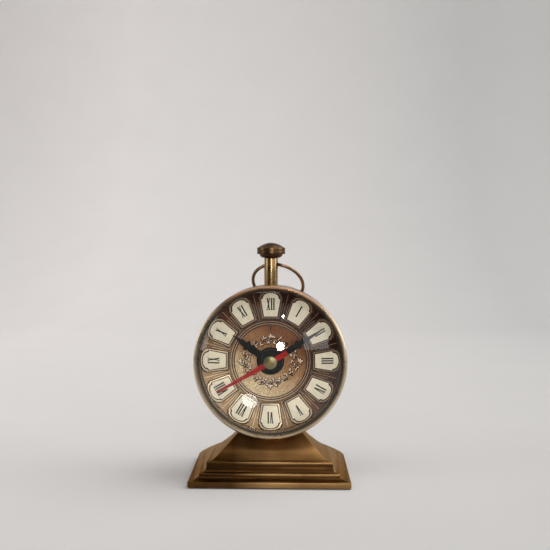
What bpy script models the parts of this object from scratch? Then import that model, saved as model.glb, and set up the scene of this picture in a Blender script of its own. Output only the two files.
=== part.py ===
"""An antique-brass desk clock: a round drum with a domed lens, on a stepped pyramid base.

The clock stands on z = 0 and faces -Y, with its base centred on the origin. Every length is
in metres and has a name below. Pieces of the drum are drawn in the drum's own frame, where
x runs to the viewer's right, y runs up and z runs forward, out of the dial. That frame's
origin is on the drum's axis, straight above the middle of the base.
"""

import math

import bmesh
import bpy
from mathutils import Matrix, Vector

MM = 0.001

# Clearances
SEAT_GAP = 0.3 * MM
RUN_GAP = 0.3 * MM
CUT_OVERRUN = 4 * MM
JOIN_OVERLAP = 0.2 * MM
MERGE_DISTANCE = 0.001 * MM

# Base, from the table upwards
BASE_WIDTH = 76.2 * MM
BASE_DEPTH = 50.8 * MM
FELT_THICKNESS = 0.9 * MM
FELT_PROUD = 0.5 * MM
PLATE_THICKNESS = 0.8 * MM
BASE_RIM_WALL = 2.4 * MM
SLAB_HEIGHT = 3.1 * MM
SLAB_ARRIS = 0.3 * MM
LOWER_COVE_RUN = 4.4 * MM
LOWER_COVE_RISE = 1.85 * MM
UPPER_COVE_RUN = 1.7 * MM
UPPER_COVE_RISE = 3.6 * MM
STEP_UPRIGHT = 0.45 * MM
STEP_ROUND = 0.4 * MM
LOWER_LEDGE_RUN = 1.1 * MM
UPPER_LEDGE_RUN = 2.3 * MM
LEDGE_RISE = 0.2 * MM
SADDLE_RISE = 3.85 * MM
FLARE_RUN = 4.0 * MM
FLARE_RISE = 3.2 * MM
NECK_INSET = 21.9 * MM
NECK_BACK = 6.5 * MM
NECK_FOOT_RISE = 0.5 * MM
PLAIN_TOP_RUN = 1.9 * MM
PLAIN_POWER = 1.2
BASE_WALL = 2.4 * MM
BASE_CEILING_DEPTH = 3.6 * MM
BASE_CORNER_RADIUS = 1.2 * MM

# Screws of the base plate
PLATE_SCREW_SPACING = 40 * MM
PLATE_SCREW_RADIUS = 1.0 * MM
PLATE_SCREW_HEAD_RADIUS = 2.2 * MM
PLATE_SCREW_HEAD = 0.7 * MM
PLATE_SCREW_LENGTH = 6.5 * MM
PLATE_BOSS_RADIUS = 3.0 * MM

# Screw that holds the drum on the base
BASE_SCREW_BACK = 1.25 * MM
BASE_SCREW_RADIUS = 1.5 * MM
BASE_SCREW_HEAD_RADIUS = 2.8 * MM
BASE_SCREW_HEAD = 2.2 * MM
BASE_WASHER_RADIUS = 3.5 * MM
BASE_WASHER_THICKNESS = 0.8 * MM
BASE_NUT_WIDTH = 5.5 * MM
BASE_NUT_THICKNESS = 2.4 * MM
BASE_SCREW_TAIL = 1.2 * MM

# Drum
CENTRE_HEIGHT = 57.0 * MM
CASE_RADIUS = 36.6 * MM
CASE_WALL = 2.4 * MM
CASE_REAR = 9.8 * MM
CASE_BACK_WALL = 1.5 * MM
CASE_CORNER_RADIUS = 2.5 * MM
CASE_SHOULDER_FORWARD = 6.0 * MM
ACCESS_ROOM = 2.9 * MM
BEZEL_PROUD = 0.3 * MM
BEZEL_WALL = 1.2 * MM
BEZEL_LIP = 0.7 * MM
BEZEL_LIP_REACH = 0.9 * MM
BEZEL_EDGE_ROUND = 0.5 * MM
NECK_WALL = 1.2 * MM
DIAL_SEAT_FORWARD = 3.3 * MM
DIAL_LEDGE_REACH = 2.7 * MM
DIAL_LEDGE_THICKNESS = 1.2 * MM
DIAL_RING_WALL = 0.8 * MM
GASKET_THICKNESS = 0.8 * MM
GASKET_WIDTH = 2.0 * MM
LENS_EDGE = 2.2 * MM
LENS_RISE = 10.0 * MM
CAP_TO_LENS = 0.6 * MM

# Cover of the access opening
COVER_FLANGE_REACH = 2.6 * MM
COVER_THICKNESS = 1.2 * MM
COVER_EDGE_ROUND = 0.4 * MM
COVER_PLUG_WALL = 1.0 * MM

# Dial
DIAL_THICKNESS = 0.5 * MM
DIAL_RELIEF = 0.35 * MM
CARTOUCHE_MARGIN = 3.3 * MM
CARTOUCHE_LENGTH = 11.4 * MM
CARTOUCHE_WIDTH = 9.0 * MM
CENTRE_DISC_MARGIN = 3.1 * MM
CENTRE_BEAD_WIDTH = 0.6 * MM
HOURS = 12
# One side of a cartouche, from its foot to its crown: share of its length, share of its half width.
CARTOUCHE_SHARES = ((0.0, 0.70), (0.76, 1.0), (0.77, 0.84), (0.84, 0.66), (0.87, 0.50), (1.0, 0.34))

# Hands, seen from the front and turned clockwise from twelve, and how far they end inside the dial
HAND_THICKNESS = 0.35 * MM
HOUR_HAND_MARGIN = 13.3 * MM
HOUR_HAND_WIDTH = 5.2 * MM
HOUR_HAND_BOSS_RADIUS = 5.3 * MM
MINUTE_HAND_MARGIN = 5.2 * MM
MINUTE_HAND_WIDTH = 4.8 * MM
MINUTE_HAND_BOSS_RADIUS = 4.2 * MM
SECOND_HAND_MARGIN = 5.6 * MM
SECOND_HAND_TAIL = 8.6 * MM
SECOND_HAND_WIDTH = 2.3 * MM
SECOND_HAND_TIP_WIDTH = 0.9 * MM
SECOND_HAND_BOSS_RADIUS = 2.0 * MM
HAND_CAP_RADIUS = 2.95 * MM
HAND_CAP_HEIGHT = 1.0 * MM
HOUR_HAND_TURN = math.radians(304.83)
MINUTE_HAND_TURN = math.radians(58.0)
SECOND_HAND_TURN = math.radians(240.0)
# One side of each black hand: share of its length, share of its half width.
HOUR_HAND_SHARES = (
    (0.26, 0.66), (0.38, 0.60), (0.47, 0.78), (0.56, 0.62), (0.62, 1.0),
    (0.66, 0.46), (0.74, 0.52), (0.82, 0.26), (1.0, 0.05),
)
MINUTE_HAND_SHARES = (
    (0.16, 0.80), (0.28, 0.52), (0.38, 0.60), (0.46, 0.52), (0.52, 1.0),
    (0.56, 0.42), (0.64, 0.50), (0.72, 0.30), (1.0, 0.06),
)

# Arbors and pipes that carry the hands
SECOND_ARBOR_RADIUS = 0.6 * MM
CANNON_WALL = 0.6 * MM
HOUR_PIPE_WALL = 0.55 * MM
BUSH_WALL = 0.8 * MM
MOUNTING_WASHER_RADIUS = 5.3 * MM
MOUNTING_WASHER_THICKNESS = 0.4 * MM
MOUNTING_NUT_RADIUS = 4.8 * MM
MOUNTING_NUT_THICKNESS = 1.0 * MM

# Movement
MOVEMENT_ROOM = 6.15 * MM
MOVEMENT_CORNER_RADIUS = 4 * MM
FRONT_PLATE_THICKNESS = 1.2 * MM
HOUSING_WALL = 1.2 * MM
GEAR_FACE = 0.7 * MM
LAYER_GAP = 0.4 * MM
LAYERS = 7
ARBOR_RADIUS = 0.5 * MM
PIVOT_DEPTH = 0.5 * MM
MINUTE_POST_RADIUS = 0.4 * MM
STATOR_GAP = 0.5 * MM
COIL_RADIUS = 1.7 * MM
COIL_CORE = 1.2 * MM
BOARD_THICKNESS = 0.8 * MM
CRYSTAL_RADIUS = 1.0 * MM
CELL_THICKNESS = 5.4 * MM
CELL_RIM = 1.1 * MM
CELL_CAP_RISE = 0.4 * MM
CELL_WELL_WALL = 0.8 * MM
CONTACT_THICKNESS = 0.25 * MM
NEGATIVE_CONTACT_RADIUS = 2.9 * MM
POSITIVE_CONTACT_WIDTH = 3.0 * MM
POSITIVE_CONTACT_REACH = 2.3 * MM
SET_KNOB_THICKNESS = 1.8 * MM

# Places and plan sizes in the movement, as shares of the half side inside its housing wall. A
# place is given as right and up. The cell's share makes it the usual 11.6 mm across.
THIRD_WHEEL_SHARES = (0.343, 0.343)
FIFTH_WHEEL_SHARES = (-0.350, 0.350)
ROTOR_SHARES = (-0.653, 0.350)
MINUTE_WHEEL_SHARES = (-0.257, -0.257)
SET_KNOB_SHARES = (-0.514, -0.514)
CELL_SHARES = (0.586, -0.586)
COIL_SHARES = (-0.30, 0.78)
COIL_LENGTH_SHARE = 0.60
COIL_BAR_SHARE = 0.16
BOARD_SHARES = (-0.88, -0.98, -0.05, -0.76)
CRYSTAL_SHARES = (-0.50, -0.87)
CRYSTAL_LENGTH_SHARE = 0.303
ROTOR_RADIUS_SHARE = 0.111
CELL_RADIUS_SHARE = 0.293
SET_KNOB_RADIUS_SHARE = 0.202

# Teeth, tooth form as shares of the module and of the pitch
SECOND_TEETH, FIFTH_PINION_TEETH = 36, 6
FIFTH_TEETH, ROTOR_PINION_TEETH = 30, 6
THIRD_TEETH, SECOND_PINION_TEETH = 45, 6
CENTRE_TEETH, THIRD_PINION_TEETH = 48, 6
MINUTE_TEETH, CANNON_TEETH, SET_TEETH = 24, 8, 8
HOUR_TEETH, MINUTE_PINION_TEETH = 32, 8
ADDENDUM_SHARE = 0.75
DEDENDUM_SHARE = 1.15
TOOTH_TIP_SHARE = 0.08
TOOTH_ROOT_SHARE = 0.26

# Stem, knob and bow ring
STEM_BACK = 1.9 * MM
STEM_RADIUS = 3.35 * MM
STEM_LENGTH = 13.2 * MM
SPIGOT_RADIUS = 1.5 * MM
STEM_NUT_WIDTH = 5.5 * MM
STEM_NUT_THICKNESS = 1.6 * MM
STEM_TAIL = 1.0 * MM
KNOB_HEIGHT = 7.3 * MM
KNOB_RADIUS = 6.95 * MM
KNOB_BAND = 2.7 * MM
KNOB_GROOVE = 0.35 * MM
KNOB_UNDERSIDE = 1.7 * MM
KNOB_STEP = 0.6 * MM
KNOB_SHOULDER = 0.9 * MM
KNOB_BORE_DEPTH = 4.0 * MM
BOW_WIRE_RADIUS = 0.825 * MM
BOW_RADIUS = 12.8 * MM
BOW_SLIP = 1.55 * MM
BOW_HOLE_RISE = 9.45 * MM
BOW_TURN = math.radians(-13.0)

# Facets
LARGE_SEGMENTS = 48
MEDIUM_SEGMENTS = 24
SMALL_SEGMENTS = 12
WIRE_SIDES = 8
ARC_STEPS = 5
DOME_STEPS = 8
SMOOTH_ANGLE = math.radians(32)
HALVINGS = 40


# Scene, finishes and modelling helpers

for old in list(bpy.data.objects):
    bpy.data.objects.remove(old)


def new_collection(name):
    collection = bpy.data.collections.new(name)
    bpy.context.scene.collection.children.link(collection)
    return collection


PARTS = new_collection("table_clock")
CUTTERS = new_collection("cutters")
CUTTERS.hide_render = True


def finish(name, colour, roughness, metallic):
    """A Principled material with a plain colour."""
    material = bpy.data.materials.new(name)
    material.use_nodes = True
    shader = material.node_tree.nodes["Principled BSDF"]
    shader.inputs["Base Color"].default_value = (*colour, 1)
    shader.inputs["Roughness"].default_value = roughness
    shader.inputs["Metallic"].default_value = metallic
    return material


AGED_BRASS = finish("aged_brass", (0.27, 0.16, 0.06), 0.34, 1.0)
PALE_BRASS = finish("pale_brass", (0.46, 0.34, 0.19), 0.30, 1.0)
STEEL = finish("steel", (0.45, 0.45, 0.46), 0.35, 1.0)
NICKEL = finish("nickel", (0.62, 0.60, 0.55), 0.25, 1.0)
LENS_GLASS = finish("lens_glass", (0.90, 0.93, 0.92), 0.03, 0.0)
BLACK_RUBBER = finish("black_rubber", (0.02, 0.02, 0.02), 0.70, 0.0)
DIAL_BRONZE = finish("dial_bronze", (0.40, 0.22, 0.11), 0.40, 0.6)
BLACK_PAINT = finish("black_paint", (0.012, 0.012, 0.012), 0.30, 0.0)
RED_PAINT = finish("red_paint", (0.50, 0.02, 0.03), 0.35, 0.0)
GREEN_FELT = finish("green_felt", (0.05, 0.09, 0.06), 0.95, 0.0)
BLACK_PLASTIC = finish("black_plastic", (0.03, 0.03, 0.03), 0.45, 0.0)
WHITE_PLASTIC = finish("white_plastic", (0.75, 0.75, 0.72), 0.45, 0.0)
COPPER = finish("copper", (0.60, 0.25, 0.12), 0.30, 1.0)
BOARD_GREEN = finish("board_green", (0.03, 0.15, 0.06), 0.50, 0.0)


def link(obj, collection, location, rotation, parent):
    collection.objects.link(obj)
    obj.location = location
    obj.rotation_euler = rotation
    obj.parent = parent
    return obj


def add_piece(name, mesh, material, location=(0, 0, 0), rotation=(0, 0, 0), parent=None):
    """One named piece of the clock."""
    mesh.materials.clear()
    mesh.materials.append(material)
    return link(bpy.data.objects.new(name, mesh), PARTS, location, rotation, parent)


def add_tool(mesh, location=(0, 0, 0), rotation=(0, 0, 0), parent=None):
    """A helper solid that a piece is cut by or joined with."""
    obj = link(bpy.data.objects.new("tool", mesh), CUTTERS, location, rotation, parent)
    obj.hide_render = True
    obj.display_type = "WIRE"
    return obj


def combine(obj, operation, *tools):
    for tool in tools:
        modifier = obj.modifiers.new(operation.title(), "BOOLEAN")
        modifier.operation = operation
        modifier.object = tool
    return obj


def cut(obj, *tools):
    return combine(obj, "DIFFERENCE", *tools)


def unite(obj, *meshes):
    """Joins more solids, drawn in the piece's own frame, to it."""
    for mesh in meshes:
        combine(obj, "UNION", add_tool(mesh, obj.location, obj.rotation_euler, obj.parent))
    return obj


def evaluated_mesh(obj):
    graph = bpy.context.evaluated_depsgraph_get()
    return bpy.data.meshes.new_from_object(obj.evaluated_get(graph))


def turned(outline, segments):
    """A solid of revolution about z. The outline goes down its outer side, as (radius, z)."""
    mesh = bpy.data.meshes.new("turned")
    edges = [(i, i + 1) for i in range(len(outline) - 1)]
    if outline[0][0] > 0:
        edges.append((len(outline) - 1, 0))
    mesh.from_pydata([(radius, 0, z) for radius, z in outline], edges, [])
    profile = link(bpy.data.objects.new("profile", mesh), CUTTERS, (0, 0, 0), (0, 0, 0), None)
    screw = profile.modifiers.new("Turn", "SCREW")
    screw.steps = segments
    screw.render_steps = segments
    screw.use_merge_vertices = True
    screw.merge_threshold = MERGE_DISTANCE
    solid = evaluated_mesh(profile)
    bpy.data.objects.remove(profile)
    return solid


def flat(outlines, rear, front):
    """A flat plate from z = rear to z = front. Each outline inside the first is a hole."""
    curve = bpy.data.curves.new("outline", "CURVE")
    curve.dimensions = "2D"
    curve.fill_mode = "BOTH"
    curve.extrude = (front - rear) / 2
    for outline in outlines:
        spline = curve.splines.new("POLY")
        spline.points.add(len(outline) - 1)
        for point, (x, y) in zip(spline.points, outline):
            point.co = (x, y, 0, 1)
        spline.use_cyclic_u = True
    guide = link(bpy.data.objects.new("guide", curve), CUTTERS, (0, 0, 0), (0, 0, 0), None)
    mesh = evaluated_mesh(guide)
    bpy.data.objects.remove(guide)
    work = bmesh.new()
    work.from_mesh(mesh)
    bmesh.ops.remove_doubles(work, verts=work.verts, dist=MERGE_DISTANCE)
    bmesh.ops.recalc_face_normals(work, faces=work.faces)
    bmesh.ops.translate(work, verts=work.verts, vec=(0, 0, (front + rear) / 2))
    work.to_mesh(mesh)
    work.free()
    return mesh


def box(low, high):
    """A box between two corners."""
    mesh = bpy.data.meshes.new("box")
    work = bmesh.new()
    bmesh.ops.create_cube(work, size=1)
    size = Vector(high) - Vector(low)
    centre = (Vector(high) + Vector(low)) / 2
    bmesh.ops.scale(work, verts=work.verts, vec=size)
    bmesh.ops.translate(work, verts=work.verts, vec=centre)
    work.to_mesh(mesh)
    work.free()
    return mesh


def rod(radius, low, high, segments=SMALL_SEGMENTS, bore=0):
    """A cylinder about z, or a tube if it has a bore."""
    if bore:
        return turned([(bore, high), (radius, high), (radius, low), (bore, low)], segments)
    return turned([(0, high), (radius, high), (radius, low), (0, low)], segments)


def joined(meshes):
    """Several separate solids as one mesh."""
    work = bmesh.new()
    for mesh in meshes:
        work.from_mesh(mesh)
    result = bpy.data.meshes.new("joined")
    work.to_mesh(result)
    work.free()
    return result


def moved(mesh, x, y, z=0):
    mesh.transform(Matrix.Translation((x, y, z)))
    return mesh


def arc(centre, radii, start, end, steps=ARC_STEPS):
    """Points of an arc or an ellipse's arc in a plane, angles in degrees."""
    angles = [math.radians(start + (end - start) * i / steps) for i in range(steps + 1)]
    return [(centre[0] + radii[0] * math.cos(a), centre[1] + radii[1] * math.sin(a)) for a in angles]


def circle(radius, segments=SMALL_SEGMENTS, centre=(0, 0)):
    return arc(centre, (radius, radius), 0, 360, segments)[:-1]


def rounded_rectangle(width, depth, radius):
    """A rectangle about the origin with round corners."""
    x = width / 2 - radius
    y = depth / 2 - radius
    corners = ((x, y, 0), (-x, y, 90), (-x, -y, 180), (x, -y, 270))
    return [p for cx, cy, turn in corners for p in arc((cx, cy), (radius, radius), turn, turn + 90)]


def hexagon(width):
    return arc((0, 0), (width / math.sqrt(3), width / math.sqrt(3)), 0, 360, 6)[:-1]


# Sizes that follow from the named ones

def axial_sizes():
    """Distances forward of the base's middle for everything stacked between movement and lens."""
    a = {}
    a["dial_back"] = DIAL_SEAT_FORWARD + SEAT_GAP
    a["dial_front"] = a["dial_back"] + DIAL_THICKNESS
    a["washer_back"] = a["dial_front"] + SEAT_GAP
    a["washer_front"] = a["washer_back"] + MOUNTING_WASHER_THICKNESS
    a["nut_back"] = a["washer_front"] + SEAT_GAP
    a["nut_front"] = a["nut_back"] + MOUNTING_NUT_THICKNESS
    a["hour_back"] = a["nut_front"] + RUN_GAP
    a["hour_front"] = a["hour_back"] + HAND_THICKNESS
    a["minute_back"] = a["hour_front"] + RUN_GAP
    a["minute_front"] = a["minute_back"] + HAND_THICKNESS
    a["second_back"] = a["minute_front"] + RUN_GAP
    a["second_front"] = a["second_back"] + HAND_THICKNESS
    a["cap_back"] = a["second_front"] + SEAT_GAP
    a["cap_front"] = a["cap_back"] + HAND_CAP_HEIGHT
    a["lens_back"] = a["cap_front"] + CAP_TO_LENS
    a["lens_shoulder"] = a["lens_back"] + LENS_EDGE
    a["lip_back"] = a["lens_shoulder"] + SEAT_GAP
    a["bezel_front"] = a["lip_back"] + BEZEL_LIP
    a["gasket_front"] = a["lens_back"] - SEAT_GAP
    a["gasket_back"] = a["gasket_front"] - GASKET_THICKNESS
    a["neck_front"] = a["gasket_back"] - SEAT_GAP
    a["plate_front"] = a["dial_back"] - SEAT_GAP
    a["plate_back"] = a["plate_front"] - FRONT_PLATE_THICKNESS
    a["stator_back"] = a["plate_back"] - LAYERS * (GEAR_FACE + LAYER_GAP)
    a["housing_inside"] = a["stator_back"] - SEAT_GAP
    a["housing_back"] = a["housing_inside"] - HOUSING_WALL
    return a


AXIAL = axial_sizes()

BEZEL_RADIUS = CASE_RADIUS + BEZEL_PROUD
BEZEL_BORE_RADIUS = BEZEL_RADIUS - BEZEL_WALL
BEZEL_LIP_RADIUS = BEZEL_BORE_RADIUS - BEZEL_LIP_REACH
NECK_RADIUS = BEZEL_BORE_RADIUS - SEAT_GAP
NECK_BORE_RADIUS = NECK_RADIUS - NECK_WALL
DIAL_RADIUS = NECK_BORE_RADIUS - SEAT_GAP
CASE_BORE_RADIUS = CASE_RADIUS - CASE_WALL
LENS_RADIUS = BEZEL_BORE_RADIUS - SEAT_GAP
DOME_RADIUS = BEZEL_LIP_RADIUS - SEAT_GAP

CARTOUCHE_OUTER_RADIUS = DIAL_RADIUS - CARTOUCHE_MARGIN
CARTOUCHE_INNER_RADIUS = CARTOUCHE_OUTER_RADIUS - CARTOUCHE_LENGTH
CENTRE_DISC_RADIUS = CARTOUCHE_INNER_RADIUS - CENTRE_DISC_MARGIN
HOUR_HAND_LENGTH = DIAL_RADIUS - HOUR_HAND_MARGIN
MINUTE_HAND_LENGTH = DIAL_RADIUS - MINUTE_HAND_MARGIN
SECOND_HAND_LENGTH = DIAL_RADIUS - SECOND_HAND_MARGIN

CANNON_BORE_RADIUS = SECOND_ARBOR_RADIUS + RUN_GAP
CANNON_RADIUS = CANNON_BORE_RADIUS + CANNON_WALL
HOUR_PIPE_BORE_RADIUS = CANNON_RADIUS + RUN_GAP
HOUR_PIPE_RADIUS = HOUR_PIPE_BORE_RADIUS + HOUR_PIPE_WALL
BUSH_BORE_RADIUS = HOUR_PIPE_RADIUS + RUN_GAP
BUSH_RADIUS = BUSH_BORE_RADIUS + BUSH_WALL

MOVEMENT_CORNER_MIDDLE = (CASE_BORE_RADIUS - MOVEMENT_ROOM - MOVEMENT_CORNER_RADIUS) / math.sqrt(2)
MOVEMENT_SIDE = 2 * (MOVEMENT_CORNER_MIDDLE + MOVEMENT_CORNER_RADIUS)
HOUSING_HALF = MOVEMENT_SIDE / 2 - HOUSING_WALL
ROTOR_RADIUS = ROTOR_RADIUS_SHARE * HOUSING_HALF
CELL_RADIUS = CELL_RADIUS_SHARE * HOUSING_HALF
CRYSTAL_LENGTH = CRYSTAL_LENGTH_SHARE * HOUSING_HALF
SET_KNOB_RADIUS = SET_KNOB_RADIUS_SHARE * HOUSING_HALF
SET_KNOB_REACH = math.hypot(*SET_KNOB_SHARES) * HOUSING_HALF + SET_KNOB_RADIUS
ACCESS_RADIUS = SET_KNOB_REACH + ACCESS_ROOM + COVER_PLUG_WALL + SEAT_GAP

STEM_BOTTOM_HEIGHT = CENTRE_HEIGHT + CASE_RADIUS + SEAT_GAP
KNOB_BOTTOM_HEIGHT = STEM_BOTTOM_HEIGHT + STEM_LENGTH
BOW_HOLE_HEIGHT = STEM_BOTTOM_HEIGHT + BOW_HOLE_RISE
BOW_DROP = (BOW_RADIUS + math.sqrt(BOW_RADIUS**2 - (STEM_RADIUS + BOW_SLIP) ** 2)) / 2
BOW_HOLE_RADIUS = BOW_RADIUS - BOW_DROP + BOW_WIRE_RADIUS + RUN_GAP
BOW_HOLE_PLACE = Vector((0, STEM_BACK, BOW_HOLE_HEIGHT))


def layer(number):
    """Rear and front of one layer of the movement's wheels, counted back from the front plate."""
    front = AXIAL["plate_back"] - LAYER_GAP - number * (GEAR_FACE + LAYER_GAP)
    return front - GEAR_FACE, front


def place(shares):
    return Vector((shares[0] * HOUSING_HALF, shares[1] * HOUSING_HALF, 0))


# The drum's own frame

DRUM = bpy.data.objects.new("drum_frame", None)
link(DRUM, PARTS, (0, 0, CENTRE_HEIGHT), (math.radians(90), 0, 0), None)


# Base

def step_edge(foot, ledge_run):
    """The small upright, rounded edge and ledge of one step of the base."""
    inset, height = foot
    top = height + STEP_UPRIGHT
    corner = arc((inset + STEP_ROUND, top), (STEP_ROUND, STEP_ROUND), 180, 90, 2)
    ledge = (inset + STEP_ROUND + ledge_run, top + STEP_ROUND + LEDGE_RISE)
    return corner + [ledge]


def cove(foot, run, rise):
    """A hollow moulding that leaves its foot level and ends upright."""
    centre = (foot[0], foot[1] + rise)
    return arc(centre, (run, rise), -90, 0)[1:]


def base_outline():
    """Inset from the slab's edge, and height, up to the foot of the pyramid."""
    points = [(0, FELT_PROUD), (0, SLAB_HEIGHT - SLAB_ARRIS), (SLAB_ARRIS, SLAB_HEIGHT)]
    points += cove(points[-1], LOWER_COVE_RUN, LOWER_COVE_RISE)
    points += step_edge(points[-1], LOWER_LEDGE_RUN)
    points += cove(points[-1], UPPER_COVE_RUN, UPPER_COVE_RISE)
    points += step_edge(points[-1], UPPER_LEDGE_RUN)
    return points


SADDLE_HEIGHT = CENTRE_HEIGHT - CASE_RADIUS
PYRAMID_FOOT = base_outline()[-1]
PYRAMID_TOP_HEIGHT = SADDLE_HEIGHT + SADDLE_RISE
FLARE_TOP = (PYRAMID_FOOT[0] + FLARE_RUN, PYRAMID_FOOT[1] + FLARE_RISE)
PYRAMID_SLOPE = (SADDLE_HEIGHT + NECK_FOOT_RISE - FLARE_TOP[1]) / (NECK_INSET - FLARE_TOP[0])
FLARE_BEND = (PYRAMID_SLOPE * FLARE_RUN - FLARE_RISE) / FLARE_RUN**2
CASTING_BOTTOM = FELT_PROUD
PLATE_BOTTOM = FELT_THICKNESS + SEAT_GAP
RECESS_TOP = PLATE_BOTTOM + PLATE_THICKNESS + SEAT_GAP
CEILING_HEIGHT = SADDLE_HEIGHT - BASE_CEILING_DEPTH


def on_pyramid(inset):
    """A point of the pyramid's outline: a hollow flare at the foot, then straight."""
    left = FLARE_TOP[0] - inset
    return inset, FLARE_TOP[1] - PYRAMID_SLOPE * left + FLARE_BEND * max(0, left) ** 2


PLAIN_TOP = on_pyramid(PYRAMID_FOOT[0] + PLAIN_TOP_RUN)


def casting_corners(inset, height):
    """Corners of one level of the casting: moulded in front, plain at the back."""
    rear = inset
    share = (height - SLAB_HEIGHT) / (PLAIN_TOP[1] - SLAB_HEIGHT)
    if 0 < share < 1:
        rear = SLAB_ARRIS + (PLAIN_TOP[0] - SLAB_ARRIS) * share**PLAIN_POWER
    front_x = BASE_WIDTH / 2 - inset
    front_y = BASE_DEPTH / 2 - inset
    rear_x = BASE_WIDTH / 2 - rear
    rear_y = max(NECK_BACK, BASE_DEPTH / 2 - rear)
    return [
        (rear_x, rear_y, height), (-rear_x, rear_y, height),
        (-front_x, -front_y, height), (front_x, -front_y, height),
    ]


def rectangle(inset, height):
    """Corners of a level rectangle inside the base's edge."""
    x = BASE_WIDTH / 2 - inset
    y = BASE_DEPTH / 2 - inset
    return [(x, y, height), (-x, y, height), (-x, -y, height), (x, -y, height)]


def four_sided_loft(levels):
    """A closed solid through level four-sided rings, its left and right sides in triangles."""
    work = bmesh.new()
    rings = [[work.verts.new(point) for point in level] for level in levels]
    for lower, upper in zip(rings, rings[1:]):
        work.faces.new((lower[0], lower[1], upper[1], upper[0]))
        work.faces.new((lower[2], lower[3], upper[3], upper[2]))
        work.faces.new((lower[1], lower[2], upper[1]))
        work.faces.new((lower[2], upper[2], upper[1]))
        work.faces.new((lower[3], lower[0], upper[0]))
        work.faces.new((lower[3], upper[0], upper[3]))
    work.faces.new(rings[0][::-1])
    work.faces.new(rings[-1])
    mesh = bpy.data.meshes.new("loft")
    work.to_mesh(mesh)
    work.free()
    return mesh


def make_base():
    outline = base_outline()
    for i in range(1, ARC_STEPS + 1):
        outline.append(on_pyramid(PYRAMID_FOOT[0] + FLARE_RUN * i / ARC_STEPS))
    outline += [on_pyramid(NECK_INSET), (NECK_INSET, PYRAMID_TOP_HEIGHT)]
    casting = four_sided_loft([casting_corners(*point) for point in outline])
    casting = add_piece("base_casting", casting, AGED_BRASS)

    recess_x = BASE_WIDTH / 2 - BASE_RIM_WALL
    recess_y = BASE_DEPTH / 2 - BASE_RIM_WALL
    recess = box(
        (-recess_x, -recess_y, CASTING_BOTTOM - CUT_OVERRUN), (recess_x, recess_y, RECESS_TOP)
    )
    mouth = LOWER_COVE_RUN + SLAB_ARRIS + BASE_WALL / 2
    brow = PYRAMID_FOOT[0] + BASE_WALL
    brow_height = min(PYRAMID_FOOT[1] - BASE_WALL, (RECESS_TOP + CEILING_HEIGHT) / 2)
    roof = FLARE_TOP[0] + (CEILING_HEIGHT - FLARE_TOP[1]) / PYRAMID_SLOPE + BASE_WALL
    hollow = add_tool(four_sided_loft([
        rectangle(mouth, RECESS_TOP - JOIN_OVERLAP),
        rectangle(brow, brow_height),
        rectangle(roof, CEILING_HEIGHT),
    ]))
    for side in (-1, 1):
        x = side * PLATE_SCREW_SPACING / 2
        boss = rod(PLATE_BOSS_RADIUS, CASTING_BOTTOM - CUT_OVERRUN, CEILING_HEIGHT + CUT_OVERRUN)
        cut(hollow, add_tool(moved(boss, x, 0)))
    cut(casting, hollow, add_tool(recess))

    screw_hole = PLATE_SCREW_RADIUS + SEAT_GAP
    screw_top = PLATE_BOTTOM - SEAT_GAP + PLATE_SCREW_LENGTH
    for side in (-1, 1):
        hole = rod(screw_hole, RECESS_TOP - CUT_OVERRUN, screw_top + SEAT_GAP)
        cut(casting, add_tool(moved(hole, side * PLATE_SCREW_SPACING / 2, 0)))
    bolt_hole = rod(
        BASE_SCREW_RADIUS + SEAT_GAP, CEILING_HEIGHT - JOIN_OVERLAP, SADDLE_HEIGHT + CUT_OVERRUN
    )
    cut(casting, add_tool(moved(bolt_hole, 0, BASE_SCREW_BACK)))

    reach = BASE_DEPTH
    saddle = turned([
        (0, reach),
        (BEZEL_RADIUS + SEAT_GAP, reach),
        (BEZEL_RADIUS + SEAT_GAP, CASE_SHOULDER_FORWARD),
        (CASE_RADIUS + SEAT_GAP, CASE_SHOULDER_FORWARD),
        (CASE_RADIUS + SEAT_GAP, -reach),
        (0, -reach),
    ], LARGE_SEGMENTS)
    cut(casting, add_tool(saddle, parent=DRUM))

    holes = [(side * PLATE_SCREW_SPACING / 2, 0) for side in (-1, 1)]
    plate_size = (2 * (recess_x - SEAT_GAP), 2 * (recess_y - SEAT_GAP))
    plate_edge = rounded_rectangle(*plate_size, BASE_CORNER_RADIUS)
    plate = flat(
        [plate_edge] + [circle(screw_hole, centre=c) for c in holes],
        PLATE_BOTTOM, PLATE_BOTTOM + PLATE_THICKNESS,
    )
    add_piece("base_plate", plate, STEEL)
    felt = flat(
        [plate_edge] + [circle(PLATE_SCREW_HEAD_RADIUS + SEAT_GAP, centre=c) for c in holes],
        0, FELT_THICKNESS,
    )
    add_piece("base_felt", felt, GREEN_FELT)

    head_top = PLATE_BOTTOM - SEAT_GAP
    for (x, y), side in zip(holes, ("left", "right")):
        outline = [
            (0, screw_top), (PLATE_SCREW_RADIUS, screw_top), (PLATE_SCREW_RADIUS, head_top),
            (PLATE_SCREW_HEAD_RADIUS, head_top),
            (PLATE_SCREW_HEAD_RADIUS, head_top - PLATE_SCREW_HEAD), (0, head_top - PLATE_SCREW_HEAD),
        ]
        add_piece(f"base_plate_screw_{side}", turned(outline, SMALL_SEGMENTS), STEEL, (x, y, 0))


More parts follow.
